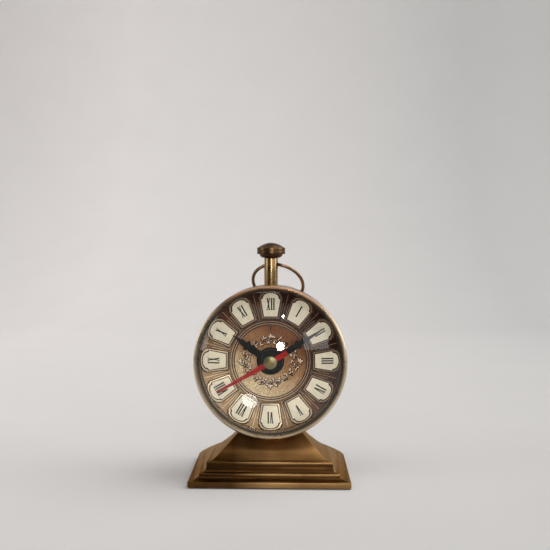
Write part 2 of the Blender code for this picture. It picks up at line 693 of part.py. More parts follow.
def make_base_bolt():
    """The screw, washer and nut that pull the drum down onto the saddle."""
    where = (0, BASE_SCREW_BACK, 0)
    hole = BASE_SCREW_RADIUS + SEAT_GAP
    washer_top = CEILING_HEIGHT - SEAT_GAP
    washer_bottom = washer_top - BASE_WASHER_THICKNESS
    head_top = washer_bottom - SEAT_GAP
    corner = BASE_NUT_WIDTH / math.sqrt(3)
    nut_bottom = CENTRE_HEIGHT - math.sqrt(CASE_BORE_RADIUS**2 - corner**2) + SEAT_GAP
    nut_top = nut_bottom + BASE_NUT_THICKNESS
    washer = rod(BASE_WASHER_RADIUS, washer_bottom, washer_top, MEDIUM_SEGMENTS, bore=hole)
    add_piece("base_washer", washer, STEEL, where)
    nut = flat([hexagon(BASE_NUT_WIDTH), circle(hole)], nut_bottom, nut_top)
    add_piece("base_nut", nut, STEEL, where)
    tip = nut_top + BASE_SCREW_TAIL
    outline = [
        (0, tip), (BASE_SCREW_RADIUS, tip), (BASE_SCREW_RADIUS, head_top),
        (BASE_SCREW_HEAD_RADIUS, head_top), (BASE_SCREW_HEAD_RADIUS, head_top - BASE_SCREW_HEAD),
        (0, head_top - BASE_SCREW_HEAD),
    ]
    add_piece("base_screw", turned(outline, SMALL_SEGMENTS), STEEL, where)


# Drum, bezel, lens and cover

def make_case():
    rear = -CASE_REAR
    corner = arc(
        (CASE_RADIUS - CASE_CORNER_RADIUS, rear + CASE_CORNER_RADIUS),
        (CASE_CORNER_RADIUS, CASE_CORNER_RADIUS), 0, -90, 3,
    )
    ledge_rear = DIAL_SEAT_FORWARD - DIAL_LEDGE_THICKNESS
    ledge_radius = NECK_BORE_RADIUS - DIAL_LEDGE_REACH
    outline = [
        (NECK_BORE_RADIUS, AXIAL["neck_front"]),
        (NECK_RADIUS, AXIAL["neck_front"]),
        (NECK_RADIUS, CASE_SHOULDER_FORWARD),
        (CASE_RADIUS, CASE_SHOULDER_FORWARD),
        *corner,
        (ACCESS_RADIUS, rear),
        (ACCESS_RADIUS, rear + CASE_BACK_WALL),
        (CASE_BORE_RADIUS, rear + CASE_BACK_WALL),
        (CASE_BORE_RADIUS, ledge_rear),
        (ledge_radius, ledge_rear),
        (ledge_radius, DIAL_SEAT_FORWARD),
        (NECK_BORE_RADIUS, DIAL_SEAT_FORWARD),
    ]
    case = add_piece("case_drum", turned(outline, LARGE_SEGMENTS), AGED_BRASS, parent=DRUM)
    lower = rod(BASE_SCREW_RADIUS + SEAT_GAP, SADDLE_HEIGHT - CUT_OVERRUN, CENTRE_HEIGHT)
    cut(case, add_tool(moved(lower, 0, BASE_SCREW_BACK)))
    upper = rod(SPIGOT_RADIUS + SEAT_GAP, CENTRE_HEIGHT, STEM_BOTTOM_HEIGHT + CUT_OVERRUN)
    cut(case, add_tool(moved(upper, 0, STEM_BACK)))


def make_bezel():
    rear = CASE_SHOULDER_FORWARD + SEAT_GAP
    front = AXIAL["bezel_front"]
    edge = arc(
        (BEZEL_RADIUS - BEZEL_EDGE_ROUND, front - BEZEL_EDGE_ROUND),
        (BEZEL_EDGE_ROUND, BEZEL_EDGE_ROUND), 90, 0, 2,
    )
    outline = [
        (BEZEL_LIP_RADIUS, front),
        *edge,
        (BEZEL_RADIUS, rear),
        (BEZEL_BORE_RADIUS, rear),
        (BEZEL_BORE_RADIUS, AXIAL["lip_back"]),
        (BEZEL_LIP_RADIUS, AXIAL["lip_back"]),
    ]
    add_piece("bezel", turned(outline, LARGE_SEGMENTS), PALE_BRASS, parent=DRUM)


def make_lens():
    shoulder = AXIAL["lens_shoulder"]
    sphere = (DOME_RADIUS**2 + LENS_RISE**2) / (2 * LENS_RISE)
    half_angle = math.degrees(math.asin(DOME_RADIUS / sphere))
    centre = (0, shoulder + LENS_RISE - sphere)
    dome = arc(centre, (sphere, sphere), 90, 90 - half_angle, DOME_STEPS)
    dome[0] = (0, shoulder + LENS_RISE)
    back = AXIAL["lens_back"]
    outline = [*dome, (LENS_RADIUS, shoulder), (LENS_RADIUS, back), (0, back)]
    add_piece("lens", turned(outline, LARGE_SEGMENTS), LENS_GLASS, parent=DRUM)
    gasket = rod(
        LENS_RADIUS, AXIAL["gasket_back"], AXIAL["gasket_front"], LARGE_SEGMENTS,
        bore=LENS_RADIUS - GASKET_WIDTH,
    )
    add_piece("lens_gasket", gasket, BLACK_RUBBER, parent=DRUM)
    spacer = rod(
        DIAL_RADIUS, AXIAL["dial_front"] + SEAT_GAP, AXIAL["neck_front"], LARGE_SEGMENTS,
        bore=DIAL_RADIUS - DIAL_RING_WALL,
    )
    add_piece("dial_ring", spacer, AGED_BRASS, parent=DRUM)


def make_cover():
    """The push-in cover over the drum's rear opening."""
    seat = -CASE_REAR - SEAT_GAP
    rear = seat - COVER_THICKNESS
    flange = ACCESS_RADIUS + COVER_FLANGE_REACH
    plug = ACCESS_RADIUS - SEAT_GAP
    edge = arc(
        (flange - COVER_EDGE_ROUND, rear + COVER_EDGE_ROUND),
        (COVER_EDGE_ROUND, COVER_EDGE_ROUND), 0, -90, 2,
    )
    outline = [
        (0, seat),
        (plug - COVER_PLUG_WALL, seat),
        (plug - COVER_PLUG_WALL, seat + SEAT_GAP + CASE_BACK_WALL),
        (plug, seat + SEAT_GAP + CASE_BACK_WALL),
        (plug, seat),
        (flange, seat),
        *edge,
        (0, rear),
    ]
    add_piece("back_cover", turned(outline, LARGE_SEGMENTS), AGED_BRASS, parent=DRUM)


# Dial and hands

def cartouche(hour):
    """The raised frame of one hour, drawn upright and turned to its place."""
    side = [
        (w * CARTOUCHE_WIDTH / 2, CARTOUCHE_INNER_RADIUS + s * CARTOUCHE_LENGTH)
        for s, w in CARTOUCHE_SHARES
    ]
    outline = side + [(-x, y) for x, y in reversed(side)]
    middle = (AXIAL["dial_back"] + AXIAL["dial_front"]) / 2
    mesh = flat([outline], middle, AXIAL["dial_front"] + DIAL_RELIEF)
    mesh.transform(Matrix.Rotation(-2 * math.pi * hour / HOURS, 4, "Z"))
    return mesh


def make_dial():
    front = AXIAL["dial_front"]
    raised = front + DIAL_RELIEF
    bead = CENTRE_DISC_RADIUS
    outline = [
        (BUSH_RADIUS + SEAT_GAP, front),
        (bead, front),
        (bead + CENTRE_BEAD_WIDTH / 2, raised),
        (bead + CENTRE_BEAD_WIDTH, front),
        (DIAL_RADIUS, front),
        (DIAL_RADIUS, AXIAL["dial_back"]),
        (BUSH_RADIUS + SEAT_GAP, AXIAL["dial_back"]),
    ]
    dial = add_piece("dial_plate", turned(outline, LARGE_SEGMENTS), DIAL_BRONZE, parent=DRUM)
    unite(dial, joined([cartouche(hour) for hour in range(HOURS)]))


def hand_outline(shares, length, width, boss):
    """A hand that points up: its boss, and its two sides out to the tip."""
    right = [(w * width / 2, s * length) for s, w in shares]
    root = math.degrees(math.acos(right[0][0] / boss))
    around = arc((0, 0), (boss, boss), 180 - root, 360 + root, SMALL_SEGMENTS)
    return around + right[1:] + [(-x, y) for x, y in reversed(right[1:])]


def make_hands():
    hour = flat(
        [
            hand_outline(HOUR_HAND_SHARES, HOUR_HAND_LENGTH, HOUR_HAND_WIDTH, HOUR_HAND_BOSS_RADIUS),
            circle(HOUR_PIPE_RADIUS + SEAT_GAP),
        ],
        AXIAL["hour_back"], AXIAL["hour_front"],
    )
    add_piece("hour_hand", hour, BLACK_PAINT, rotation=(0, 0, -HOUR_HAND_TURN), parent=DRUM)
    minute = flat(
        [
            hand_outline(
                MINUTE_HAND_SHARES, MINUTE_HAND_LENGTH, MINUTE_HAND_WIDTH, MINUTE_HAND_BOSS_RADIUS
            ),
            circle(CANNON_RADIUS + SEAT_GAP),
        ],
        AXIAL["minute_back"], AXIAL["minute_front"],
    )
    add_piece("minute_hand", minute, BLACK_PAINT, rotation=(0, 0, -MINUTE_HAND_TURN), parent=DRUM)

    half = SECOND_HAND_WIDTH / 2
    boss = SECOND_HAND_BOSS_RADIUS
    join = math.degrees(math.acos(half / boss))
    tip = SECOND_HAND_TIP_WIDTH / 2
    outline = (
        arc((0, 0), (boss, boss), -join, join)
        + [(tip, SECOND_HAND_LENGTH), (-tip, SECOND_HAND_LENGTH)]
        + arc((0, 0), (boss, boss), 180 - join, 180 + join)
        + [(-half, -SECOND_HAND_TAIL), (half, -SECOND_HAND_TAIL)]
    )
    bore = circle(SECOND_ARBOR_RADIUS + SEAT_GAP)
    second = flat([outline, bore], AXIAL["second_back"], AXIAL["second_front"])
    add_piece("second_hand", second, RED_PAINT, rotation=(0, 0, -SECOND_HAND_TURN), parent=DRUM)

    cap = arc((0, AXIAL["cap_back"]), (HAND_CAP_RADIUS, HAND_CAP_HEIGHT), 90, 0)
    cap[0] = (0, AXIAL["cap_front"])
    add_piece(
        "hand_cap", turned([*cap, (0, AXIAL["cap_back"])], MEDIUM_SEGMENTS), PALE_BRASS,
        rotation=(0, 0, -SECOND_HAND_TURN), parent=DRUM,
    )

    bore = BUSH_RADIUS + SEAT_GAP
    washer = rod(
        MOUNTING_WASHER_RADIUS, AXIAL["washer_back"], AXIAL["washer_front"], MEDIUM_SEGMENTS, bore=bore
    )
    add_piece("mounting_washer", washer, BLACK_RUBBER, parent=DRUM)
    nut = rod(MOUNTING_NUT_RADIUS, AXIAL["nut_back"], AXIAL["nut_front"], MEDIUM_SEGMENTS, bore=bore)
    add_piece("mounting_nut", nut, BLACK_PLASTIC, parent=DRUM)


# Wheels of the movement

def gear_outline(teeth, pitch_radius, phase):
    """Tooth by tooth round a wheel. The phase is the angle of the first tooth's middle."""
    module = 2 * pitch_radius / teeth
    root = (pitch_radius - DEDENDUM_SHARE * module, TOOTH_ROOT_SHARE)
    tip = (pitch_radius + ADDENDUM_SHARE * module, TOOTH_TIP_SHARE)
    points = []
    for k in range(teeth):
        for (radius, share), side in ((root, -1), (tip, -1), (tip, 1), (root, 1)):
            angle = phase + 2 * math.pi * (k + side * share) / teeth
            points.append((radius * math.cos(angle), radius * math.sin(angle)))
    return points


def gear(teeth, pitch_radius, phase, span, bore=0):
    """A flat toothed wheel between two heights."""
    outlines = [gear_outline(teeth, pitch_radius, phase)]
    if bore:
        outlines.append(circle(bore))
    return flat(outlines, *span)


def meshing_phase(teeth, phase, direction, next_teeth):
    """Phase of the next wheel in that direction, with a gap where this wheel has a tooth."""
    offset = ((direction - phase) * teeth / (2 * math.pi)) % 1
    return direction + math.pi - (0.5 - offset) * 2 * math.pi / next_teeth


def pitch_radii(distance, teeth, next_teeth):
    """Pitch radii of two meshed wheels that stand this far apart."""
    return distance * teeth / (teeth + next_teeth), distance * next_teeth / (teeth + next_teeth)


def wheel_piece(name, location, wheel, *others):
    piece = add_piece(name, wheel, WHITE_PLASTIC, location, parent=DRUM)
    return unite(piece, *others)


def pinion_span(number):
    """From the middle of a layer to the front of the one before it."""
    return sum(layer(number)) / 2, layer(number - 1)[1]


def heading(start, end):
    """Direction and distance from one wheel's middle to another's."""
    step = end - start
    return math.atan2(step.y, step.x), step.length


def make_train():
    centre = Vector((0, 0, 0))
    third, fifth, rotor = (place(s) for s in (THIRD_WHEEL_SHARES, FIFTH_WHEEL_SHARES, ROTOR_SHARES))
    minute, setter = place(MINUTE_WHEEL_SHARES), place(SET_KNOB_SHARES)

    to_third, third_distance = heading(centre, third)
    to_fifth, fifth_distance = heading(centre, fifth)
    to_rotor, rotor_distance = heading(fifth, rotor)
    to_minute, minute_distance = heading(centre, minute)
    to_setter, setter_distance = heading(minute, setter)

    plate = AXIAL["plate_back"] + PIVOT_DEPTH
    back = AXIAL["housing_inside"] - PIVOT_DEPTH

    centre_radius, third_leaf = pitch_radii(third_distance, CENTRE_TEETH, THIRD_PINION_TEETH)
    second_leaf, third_radius = pitch_radii(third_distance, SECOND_PINION_TEETH, THIRD_TEETH)
    second_radius, fifth_leaf = pitch_radii(fifth_distance, SECOND_TEETH, FIFTH_PINION_TEETH)
    fifth_radius, rotor_leaf = pitch_radii(rotor_distance, FIFTH_TEETH, ROTOR_PINION_TEETH)
    cannon_leaf, minute_radius = pitch_radii(minute_distance, CANNON_TEETH, MINUTE_TEETH)
    hour_radius, minute_leaf = pitch_radii(minute_distance, HOUR_TEETH, MINUTE_PINION_TEETH)
    setter_leaf = pitch_radii(setter_distance, SET_TEETH, MINUTE_TEETH)[0]

    phase = meshing_phase(MINUTE_PINION_TEETH, 0, to_minute + math.pi, HOUR_TEETH)
    wheel_piece(
        "hour_wheel", centre,
        gear(HOUR_TEETH, hour_radius, phase, layer(0), HOUR_PIPE_BORE_RADIUS),
        rod(HOUR_PIPE_RADIUS, sum(layer(0)) / 2, AXIAL["hour_front"], bore=HOUR_PIPE_BORE_RADIUS),
    )

    minute_phase = meshing_phase(CANNON_TEETH, 0, to_minute, MINUTE_TEETH)
    bore = MINUTE_POST_RADIUS + RUN_GAP
    wheel_piece(
        "minute_wheel", minute,
        gear(MINUTE_TEETH, minute_radius, minute_phase, layer(1), bore),
        gear(MINUTE_PINION_TEETH, minute_leaf, 0, pinion_span(1), bore),
    )

    pipe_rear = layer(1)[1] - JOIN_OVERLAP
    wheel_piece(
        "cannon_pinion", centre,
        gear(CANNON_TEETH, cannon_leaf, 0, layer(1), CANNON_BORE_RADIUS),
        rod(CANNON_RADIUS, pipe_rear, AXIAL["minute_front"], bore=CANNON_BORE_RADIUS),
    )

    phase = meshing_phase(THIRD_PINION_TEETH, 0, to_third + math.pi, CENTRE_TEETH)
    wheel_piece(
        "centre_wheel", centre,
        gear(CENTRE_TEETH, centre_radius, phase, layer(2), CANNON_BORE_RADIUS),
    )

    phase = meshing_phase(SECOND_PINION_TEETH, 0, to_third, THIRD_TEETH)
    wheel_piece(
        "third_wheel", third,
        gear(THIRD_TEETH, third_radius, phase, layer(3)),
        gear(THIRD_PINION_TEETH, third_leaf, 0, pinion_span(3)),
        rod(ARBOR_RADIUS, back, plate),
    )

    phase = meshing_phase(FIFTH_PINION_TEETH, 0, to_fifth + math.pi, SECOND_TEETH)
    wheel_piece(
        "second_wheel", centre,
        gear(SECOND_TEETH, second_radius, phase, layer(4)),
        gear(SECOND_PINION_TEETH, second_leaf, 0, pinion_span(4)),
        rod(SECOND_ARBOR_RADIUS, back, AXIAL["second_front"]),
    )

    phase = meshing_phase(ROTOR_PINION_TEETH, 0, to_rotor + math.pi, FIFTH_TEETH)
    wheel_piece(
        "fifth_wheel", fifth,
        gear(FIFTH_TEETH, fifth_radius, phase, layer(5)),
        gear(FIFTH_PINION_TEETH, fifth_leaf, 0, pinion_span(5)),
        rod(ARBOR_RADIUS, back, plate),
    )

    wheel_piece(
        "rotor", rotor,
        rod(ROTOR_RADIUS, *layer(6), MEDIUM_SEGMENTS),
        gear(ROTOR_PINION_TEETH, rotor_leaf, 0, pinion_span(6)),
        rod(ARBOR_RADIUS, back, plate),
    )

    phase = meshing_phase(MINUTE_TEETH, minute_phase, to_setter, SET_TEETH)
    knob_front = AXIAL["housing_back"] - SEAT_GAP
    knob_rear = knob_front - SET_KNOB_THICKNESS
    set_knob = wheel_piece(
        "set_knob", setter,
        gear(SET_TEETH, setter_leaf, phase, layer(1)),
        rod(ARBOR_RADIUS, (knob_rear + knob_front) / 2, plate),
        rod(SET_KNOB_RADIUS, knob_rear, knob_front, MEDIUM_SEGMENTS),
    )
    set_knob.data.materials[0] = BLACK_PLASTIC


# Housing, motor, battery and circuit of the movement

def make_housing():
    side = MOVEMENT_SIDE
    plate_back, plate_front = AXIAL["plate_back"], AXIAL["plate_front"]
    minute = place(MINUTE_WHEEL_SHARES)
    arbors = [place(s) for s in (THIRD_WHEEL_SHARES, FIFTH_WHEEL_SHARES, ROTOR_SHARES)]
    setter = place(SET_KNOB_SHARES)
    pivot = ARBOR_RADIUS + RUN_GAP
    pivot_end = PIVOT_DEPTH + SEAT_GAP

    front_plate = add_piece(
        "movement_front_plate",
        flat(
            [rounded_rectangle(side, side, MOVEMENT_CORNER_RADIUS), circle(BUSH_BORE_RADIUS)],
            plate_back, plate_front,
        ),
        BLACK_PLASTIC, parent=DRUM,
    )
    bush = rod(
        BUSH_RADIUS, (plate_back + plate_front) / 2, AXIAL["nut_front"], MEDIUM_SEGMENTS,
        bore=BUSH_BORE_RADIUS,
    )
    post = moved(
        rod(MINUTE_POST_RADIUS, layer(1)[0], (plate_back + plate_front) / 2), minute.x, minute.y
    )
    unite(front_plate, bush, post)
    for spot in (*arbors, setter):
        hole = rod(pivot, plate_back - CUT_OVERRUN, plate_back + pivot_end)
        cut(front_plate, add_tool(moved(hole, spot.x, spot.y), parent=DRUM))

    inside, back = AXIAL["housing_inside"], AXIAL["housing_back"]
    mouth = plate_back - SEAT_GAP
    outside = flat([rounded_rectangle(side, side, MOVEMENT_CORNER_RADIUS)], back, mouth)
    housing = add_piece("movement_housing", outside, BLACK_PLASTIC, parent=DRUM)
    width = 2 * HOUSING_HALF
    cavity_edge = rounded_rectangle(width, width, MOVEMENT_CORNER_RADIUS - HOUSING_WALL)
    cavity = add_tool(flat([cavity_edge], inside, mouth + CUT_OVERRUN), parent=DRUM)
    cell = place(CELL_SHARES)
    well_floor = cell_front() + SEAT_GAP + CONTACT_THICKNESS + SEAT_GAP
    well_radius = CELL_RADIUS + SEAT_GAP
    post = rod(
        well_radius + CELL_WELL_WALL, inside - CUT_OVERRUN, well_floor + CELL_WELL_WALL, MEDIUM_SEGMENTS
    )
    cut(cavity, add_tool(moved(post, cell.x, cell.y), parent=DRUM))
    well = rod(well_radius, back - CUT_OVERRUN, well_floor, MEDIUM_SEGMENTS)
    cut(housing, cavity, add_tool(moved(well, cell.x, cell.y), parent=DRUM))
    for spot in arbors:
        hole = rod(pivot, inside - pivot_end, inside + CUT_OVERRUN)
        cut(housing, add_tool(moved(hole, spot.x, spot.y), parent=DRUM))
    middle_hole = rod(SECOND_ARBOR_RADIUS + RUN_GAP, inside - pivot_end, inside + CUT_OVERRUN)
    through = rod(pivot, back - CUT_OVERRUN, inside + CUT_OVERRUN)
    cut(housing, add_tool(middle_hole, parent=DRUM))
    cut(housing, add_tool(moved(through, setter.x, setter.y), parent=DRUM))


def cell_front():
    """Front face of the button cell, whose rear face is level with the housing's."""
    return AXIAL["housing_back"] + CELL_THICKNESS


def make_cell():
    cell = place(CELL_SHARES)
    rear, front = AXIAL["housing_back"], cell_front()
    shoulder = front - CELL_CAP_RISE
    cap = CELL_RADIUS - CELL_RIM
    side = [(cap, front), (cap, shoulder), (CELL_RADIUS, shoulder), (CELL_RADIUS, rear)]
    outline = [(0, front), *side, (0, rear)]
    add_piece("button_cell", turned(outline, MEDIUM_SEGMENTS), NICKEL, cell, parent=DRUM)
    leaf = front + SEAT_GAP
    negative = rod(NEGATIVE_CONTACT_RADIUS, leaf, leaf + CONTACT_THICKNESS)
    add_piece("negative_contact", negative, NICKEL, cell, parent=DRUM)
    strip = rear - SEAT_GAP
    half = POSITIVE_CONTACT_WIDTH / 2
    end = CELL_RADIUS + POSITIVE_CONTACT_REACH
    positive = box((-end, -half, strip - CONTACT_THICKNESS), (half, half, strip))
    add_piece("positive_contact", positive, NICKEL, cell, parent=DRUM)


def make_motor():
    """Stator, coil and core of the stepping motor, the circuit board and the quartz crystal."""
    rotor = place(ROTOR_SHARES)
    coil = place(COIL_SHARES)
    length = COIL_LENGTH_SHARE * HOUSING_HALF
    bar = COIL_BAR_SHARE * HOUSING_HALF
    left = coil.x - length / 2 - bar
    right = coil.x + length / 2 + bar
    rear, front = layer(6)
    half = bar / 2
    ring = ROTOR_RADIUS + STATOR_GAP
    yoke = rotor.x + ring + half
    outline = [
        (left, rotor.y - ring - half), (yoke, rotor.y - ring - half), (yoke, coil.y - half),
        (right, coil.y - half), (right, coil.y + half), (left, coil.y + half),
    ]
    stator = flat([outline, circle(ring, centre=(rotor.x, rotor.y))], rear, front)
    add_piece("stator", stator, STEEL, parent=DRUM)

    axis_height = front + SEAT_GAP + COIL_RADIUS
    core = add_piece(
        "coil_core",
        box(
            (left, coil.y - COIL_CORE / 2, axis_height - COIL_CORE / 2),
            (right, coil.y + COIL_CORE / 2, axis_height + COIL_CORE / 2),
        ),
        STEEL, parent=DRUM,
    )
    for x in (left, right - bar / 2):
        foot = box(
            (x, coil.y - COIL_CORE / 2, front + SEAT_GAP),
            (x + bar / 2, coil.y + COIL_CORE / 2, axis_height),
        )
        unite(core, foot)
    bore = COIL_CORE / 2 * math.sqrt(2) + SEAT_GAP
    winding = rod(COIL_RADIUS, -length / 2, length / 2, bore=bore)
    add_piece(
        "coil", winding, COPPER, (coil.x, coil.y, axis_height), (0, math.radians(90), 0), parent=DRUM
    )

    low_x, low_y, high_x, high_y = (s * HOUSING_HALF for s in BOARD_SHARES)
    board_rear = AXIAL["housing_inside"] + SEAT_GAP
    board_front = board_rear + BOARD_THICKNESS
    board = box((low_x, low_y, board_rear), (high_x, high_y, board_front))
    add_piece("circuit_board", board, BOARD_GREEN, parent=DRUM)
    crystal = place(CRYSTAL_SHARES)
    can = rod(CRYSTAL_RADIUS, -CRYSTAL_LENGTH / 2, CRYSTAL_LENGTH / 2)
    crystal.z = board_front + SEAT_GAP + CRYSTAL_RADIUS
    add_piece("quartz_crystal", can, NICKEL, crystal, (0, math.radians(90), 0), parent=DRUM)


# Stem, knob and bow ring

def make_stem():
    seat = KNOB_BOTTOM_HEIGHT - SEAT_GAP
    corner = STEM_NUT_WIDTH / math.sqrt(3)
    nut_top = CENTRE_HEIGHT + math.sqrt(CASE_BORE_RADIUS**2 - corner**2) - SEAT_GAP
    nut_bottom = nut_top - STEM_NUT_THICKNESS
    tail = nut_bottom - STEM_TAIL
    outline = [
        (0, KNOB_BOTTOM_HEIGHT + KNOB_BORE_DEPTH - SEAT_GAP),
        (SPIGOT_RADIUS, KNOB_BOTTOM_HEIGHT + KNOB_BORE_DEPTH - SEAT_GAP),
        (SPIGOT_RADIUS, seat),
        (STEM_RADIUS, seat),
        (STEM_RADIUS, STEM_BOTTOM_HEIGHT),
        (SPIGOT_RADIUS, STEM_BOTTOM_HEIGHT),
        (SPIGOT_RADIUS, tail),
        (0, tail),
    ]
    where = (0, STEM_BACK, 0)
    stem = add_piece("stem", turned(outline, MEDIUM_SEGMENTS), AGED_BRASS, where)
    hole = rod(BOW_HOLE_RADIUS, -STEM_RADIUS - CUT_OVERRUN, STEM_RADIUS + CUT_OVERRUN)
    across = Matrix.Rotation(BOW_TURN, 3, "Z") @ Matrix.Rotation(math.radians(90), 3, "Y")
    cut(stem, add_tool(hole, BOW_HOLE_PLACE, across.to_euler()))
    nut = flat([hexagon(STEM_NUT_WIDTH), circle(SPIGOT_RADIUS + SEAT_GAP)], nut_bottom, nut_top)
    add_piece("stem_nut", nut, STEEL, where)


def make_knob():
    bottom = KNOB_BOTTOM_HEIGHT
    top = bottom + KNOB_HEIGHT
    band_bottom = bottom + KNOB_UNDERSIDE
    band_top = band_bottom + KNOB_BAND
    middle = (band_bottom + band_top) / 2
    shoulder = KNOB_RADIUS - KNOB_SHOULDER
    step = KNOB_RADIUS - KNOB_STEP
    bore = SPIGOT_RADIUS + SEAT_GAP
    dome = arc((0, band_top), (shoulder, top - band_top), 90, 0)
    dome[0] = (0, top)
    underside = arc((STEM_RADIUS, band_bottom), (step - STEM_RADIUS, KNOB_UNDERSIDE), 0, -90, 3)
    outline = [
        *dome,
        (KNOB_RADIUS, band_top - KNOB_GROOVE),
        (KNOB_RADIUS, middle + KNOB_GROOVE),
        (KNOB_RADIUS - KNOB_GROOVE, middle),
        (KNOB_RADIUS, middle - KNOB_GROOVE),
        (KNOB_RADIUS, band_bottom),
        *underside,
        (bore, bottom),
        (bore, bottom + KNOB_BORE_DEPTH),
        (0, bottom + KNOB_BORE_DEPTH),
    ]
    add_piece("knob", turned(outline, MEDIUM_SEGMENTS), AGED_BRASS, (0, STEM_BACK, 0))


def bow_frame(lean):
    """Directions along the hole and away from it, in the ring's plane, and the ring's middle."""
    along = Vector((math.cos(BOW_TURN), math.sin(BOW_TURN), 0))
    back = Vector((-math.sin(BOW_TURN), math.cos(BOW_TURN), 0))
    away = back * math.sin(lean) - Vector((0, 0, 1)) * math.cos(lean)
    return along, away, BOW_HOLE_PLACE + along * BOW_SLIP + away * BOW_DROP


def bow_clearance(lean):
    """Least gap between the leaning ring and the drum, with the drum's rear edge rounded."""
    along, away, middle = bow_frame(lean)
    gaps = []
    for i in range(LARGE_SEGMENTS):
        turn = 2 * math.pi * i / LARGE_SEGMENTS
        point = middle + BOW_RADIUS * (along * math.cos(turn) + away * math.sin(turn))
        outward = math.hypot(point.x, point.z - CENTRE_HEIGHT) - CASE_RADIUS + CASE_CORNER_RADIUS
        behind = point.y - CASE_REAR + CASE_CORNER_RADIUS
        gaps.append(math.hypot(max(outward, 0), max(behind, 0)))
    return min(gaps) - CASE_CORNER_RADIUS - BOW_WIRE_RADIUS


def make_bow():
    """The ring through the stem, leaning back until it rests on the drum's rear edge."""
    low, high = 0, math.pi / 2
    for _ in range(HALVINGS):
        lean = (low + high) / 2
        if bow_clearance(lean) < SEAT_GAP:
            low = lean
        else:
            high = lean
    along, away, _ = bow_frame(high)
    wire = arc((BOW_RADIUS, 0), (BOW_WIRE_RADIUS, BOW_WIRE_RADIUS), 90, -270, WIRE_SIDES)[:-1]
    ring = moved(turned(wire, LARGE_SEGMENTS), BOW_SLIP, -BOW_DROP)
    frame = Matrix((along, -away, along.cross(-away))).transposed()
    add_piece("bow_ring", ring, AGED_BRASS, BOW_HOLE_PLACE, frame.to_euler())


def finish_surfaces():
    """Turns every piece's modifiers into its mesh and shades its round faces smooth."""
    graph = bpy.context.evaluated_depsgraph_get()
    made = [(obj, bpy.data.meshes.new_from_object(obj.evaluated_get(graph)))
            for obj in PARTS.objects if obj.type == "MESH"]
    for obj, mesh in made:
        obj.modifiers.clear()
        mesh.name = obj.name
        obj.data = mesh
        mesh.shade_smooth()
        mesh.set_sharp_from_angle(angle=SMOOTH_ANGLE)


make_base()
make_base_bolt()
make_case()
make_bezel()
make_lens()
make_cover()
make_dial()
make_hands()
make_train()
make_housing()
make_cell()
make_motor()
make_stem()
make_knob()
make_bow()
finish_surfaces()
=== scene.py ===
"""Looks of a small table clock: an aged brass drum with a domed lens on a stepped pyramid base."""
import math
import random

import bmesh
import bpy
from mathutils import Matrix, Vector
from mathutils.geometry import delaunay_2d_cdt


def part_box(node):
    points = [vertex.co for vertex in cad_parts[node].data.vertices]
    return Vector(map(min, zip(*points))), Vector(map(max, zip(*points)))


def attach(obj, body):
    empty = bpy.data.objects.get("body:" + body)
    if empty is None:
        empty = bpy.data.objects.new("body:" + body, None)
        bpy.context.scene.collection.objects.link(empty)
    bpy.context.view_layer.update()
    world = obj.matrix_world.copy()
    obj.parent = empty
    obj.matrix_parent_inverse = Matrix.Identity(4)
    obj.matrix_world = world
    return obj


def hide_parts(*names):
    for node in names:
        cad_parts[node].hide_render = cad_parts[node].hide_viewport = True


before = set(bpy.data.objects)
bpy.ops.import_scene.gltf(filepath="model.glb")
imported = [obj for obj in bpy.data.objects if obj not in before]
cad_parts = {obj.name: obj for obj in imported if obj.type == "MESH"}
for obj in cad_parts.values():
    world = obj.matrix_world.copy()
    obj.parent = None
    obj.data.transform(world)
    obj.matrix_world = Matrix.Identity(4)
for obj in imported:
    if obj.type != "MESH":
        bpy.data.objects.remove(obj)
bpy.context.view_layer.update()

# Shapes are drawn in millimetres, and every mesh is scaled to metres when it is added.
MM = 0.001


def size_of(node):
    """Lowest and highest corner of a node in millimetres."""
    low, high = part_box(node)
    return Vector(low) / MM, Vector(high) / MM


def depth_of(node):
    """Back and front of a node, forward of the drum's origin, and its half width."""
    low, high = size_of(node)
    return -high.y, -low.y, high.x


BASE_LOW, BASE_HIGH = size_of("base_casting")
BEZEL_LOW, BEZEL_HIGH = size_of("bezel")
KNOB_LOW, KNOB_HIGH = size_of("knob")
STEM_LOW, STEM_HIGH = size_of("stem")
CENTRE = (BEZEL_LOW.z + BEZEL_HIGH.z) / 2
STEM_BACK = (STEM_LOW.y + STEM_HIGH.y) / 2

# Clock space has its origin at the middle of the dial: right, up, and forward to the viewer.
TABLE = Matrix.Scale(MM, 4)
DRUM = Matrix.Translation((0, 0, CENTRE)) @ Matrix.Rotation(math.radians(90), 4, "X")
CLOCK = TABLE @ DRUM
ON_STEM = Matrix.Translation((0, STEM_BACK, 0))

# Axes of turned marks: the coordinate along the axis, the two across it, and where it crosses those
CLOCK_AXIS = (1, (0, 2), (0, CENTRE * MM))
STEM_AXIS = (2, (0, 1), (0, STEM_BACK * MM))

GAP = 0.3
OVERRUN = 2.0
FINE_TURN = 256
TURN = 192
SMALL_TURN = 96
ARC_STEPS = 10
HOURS = 12

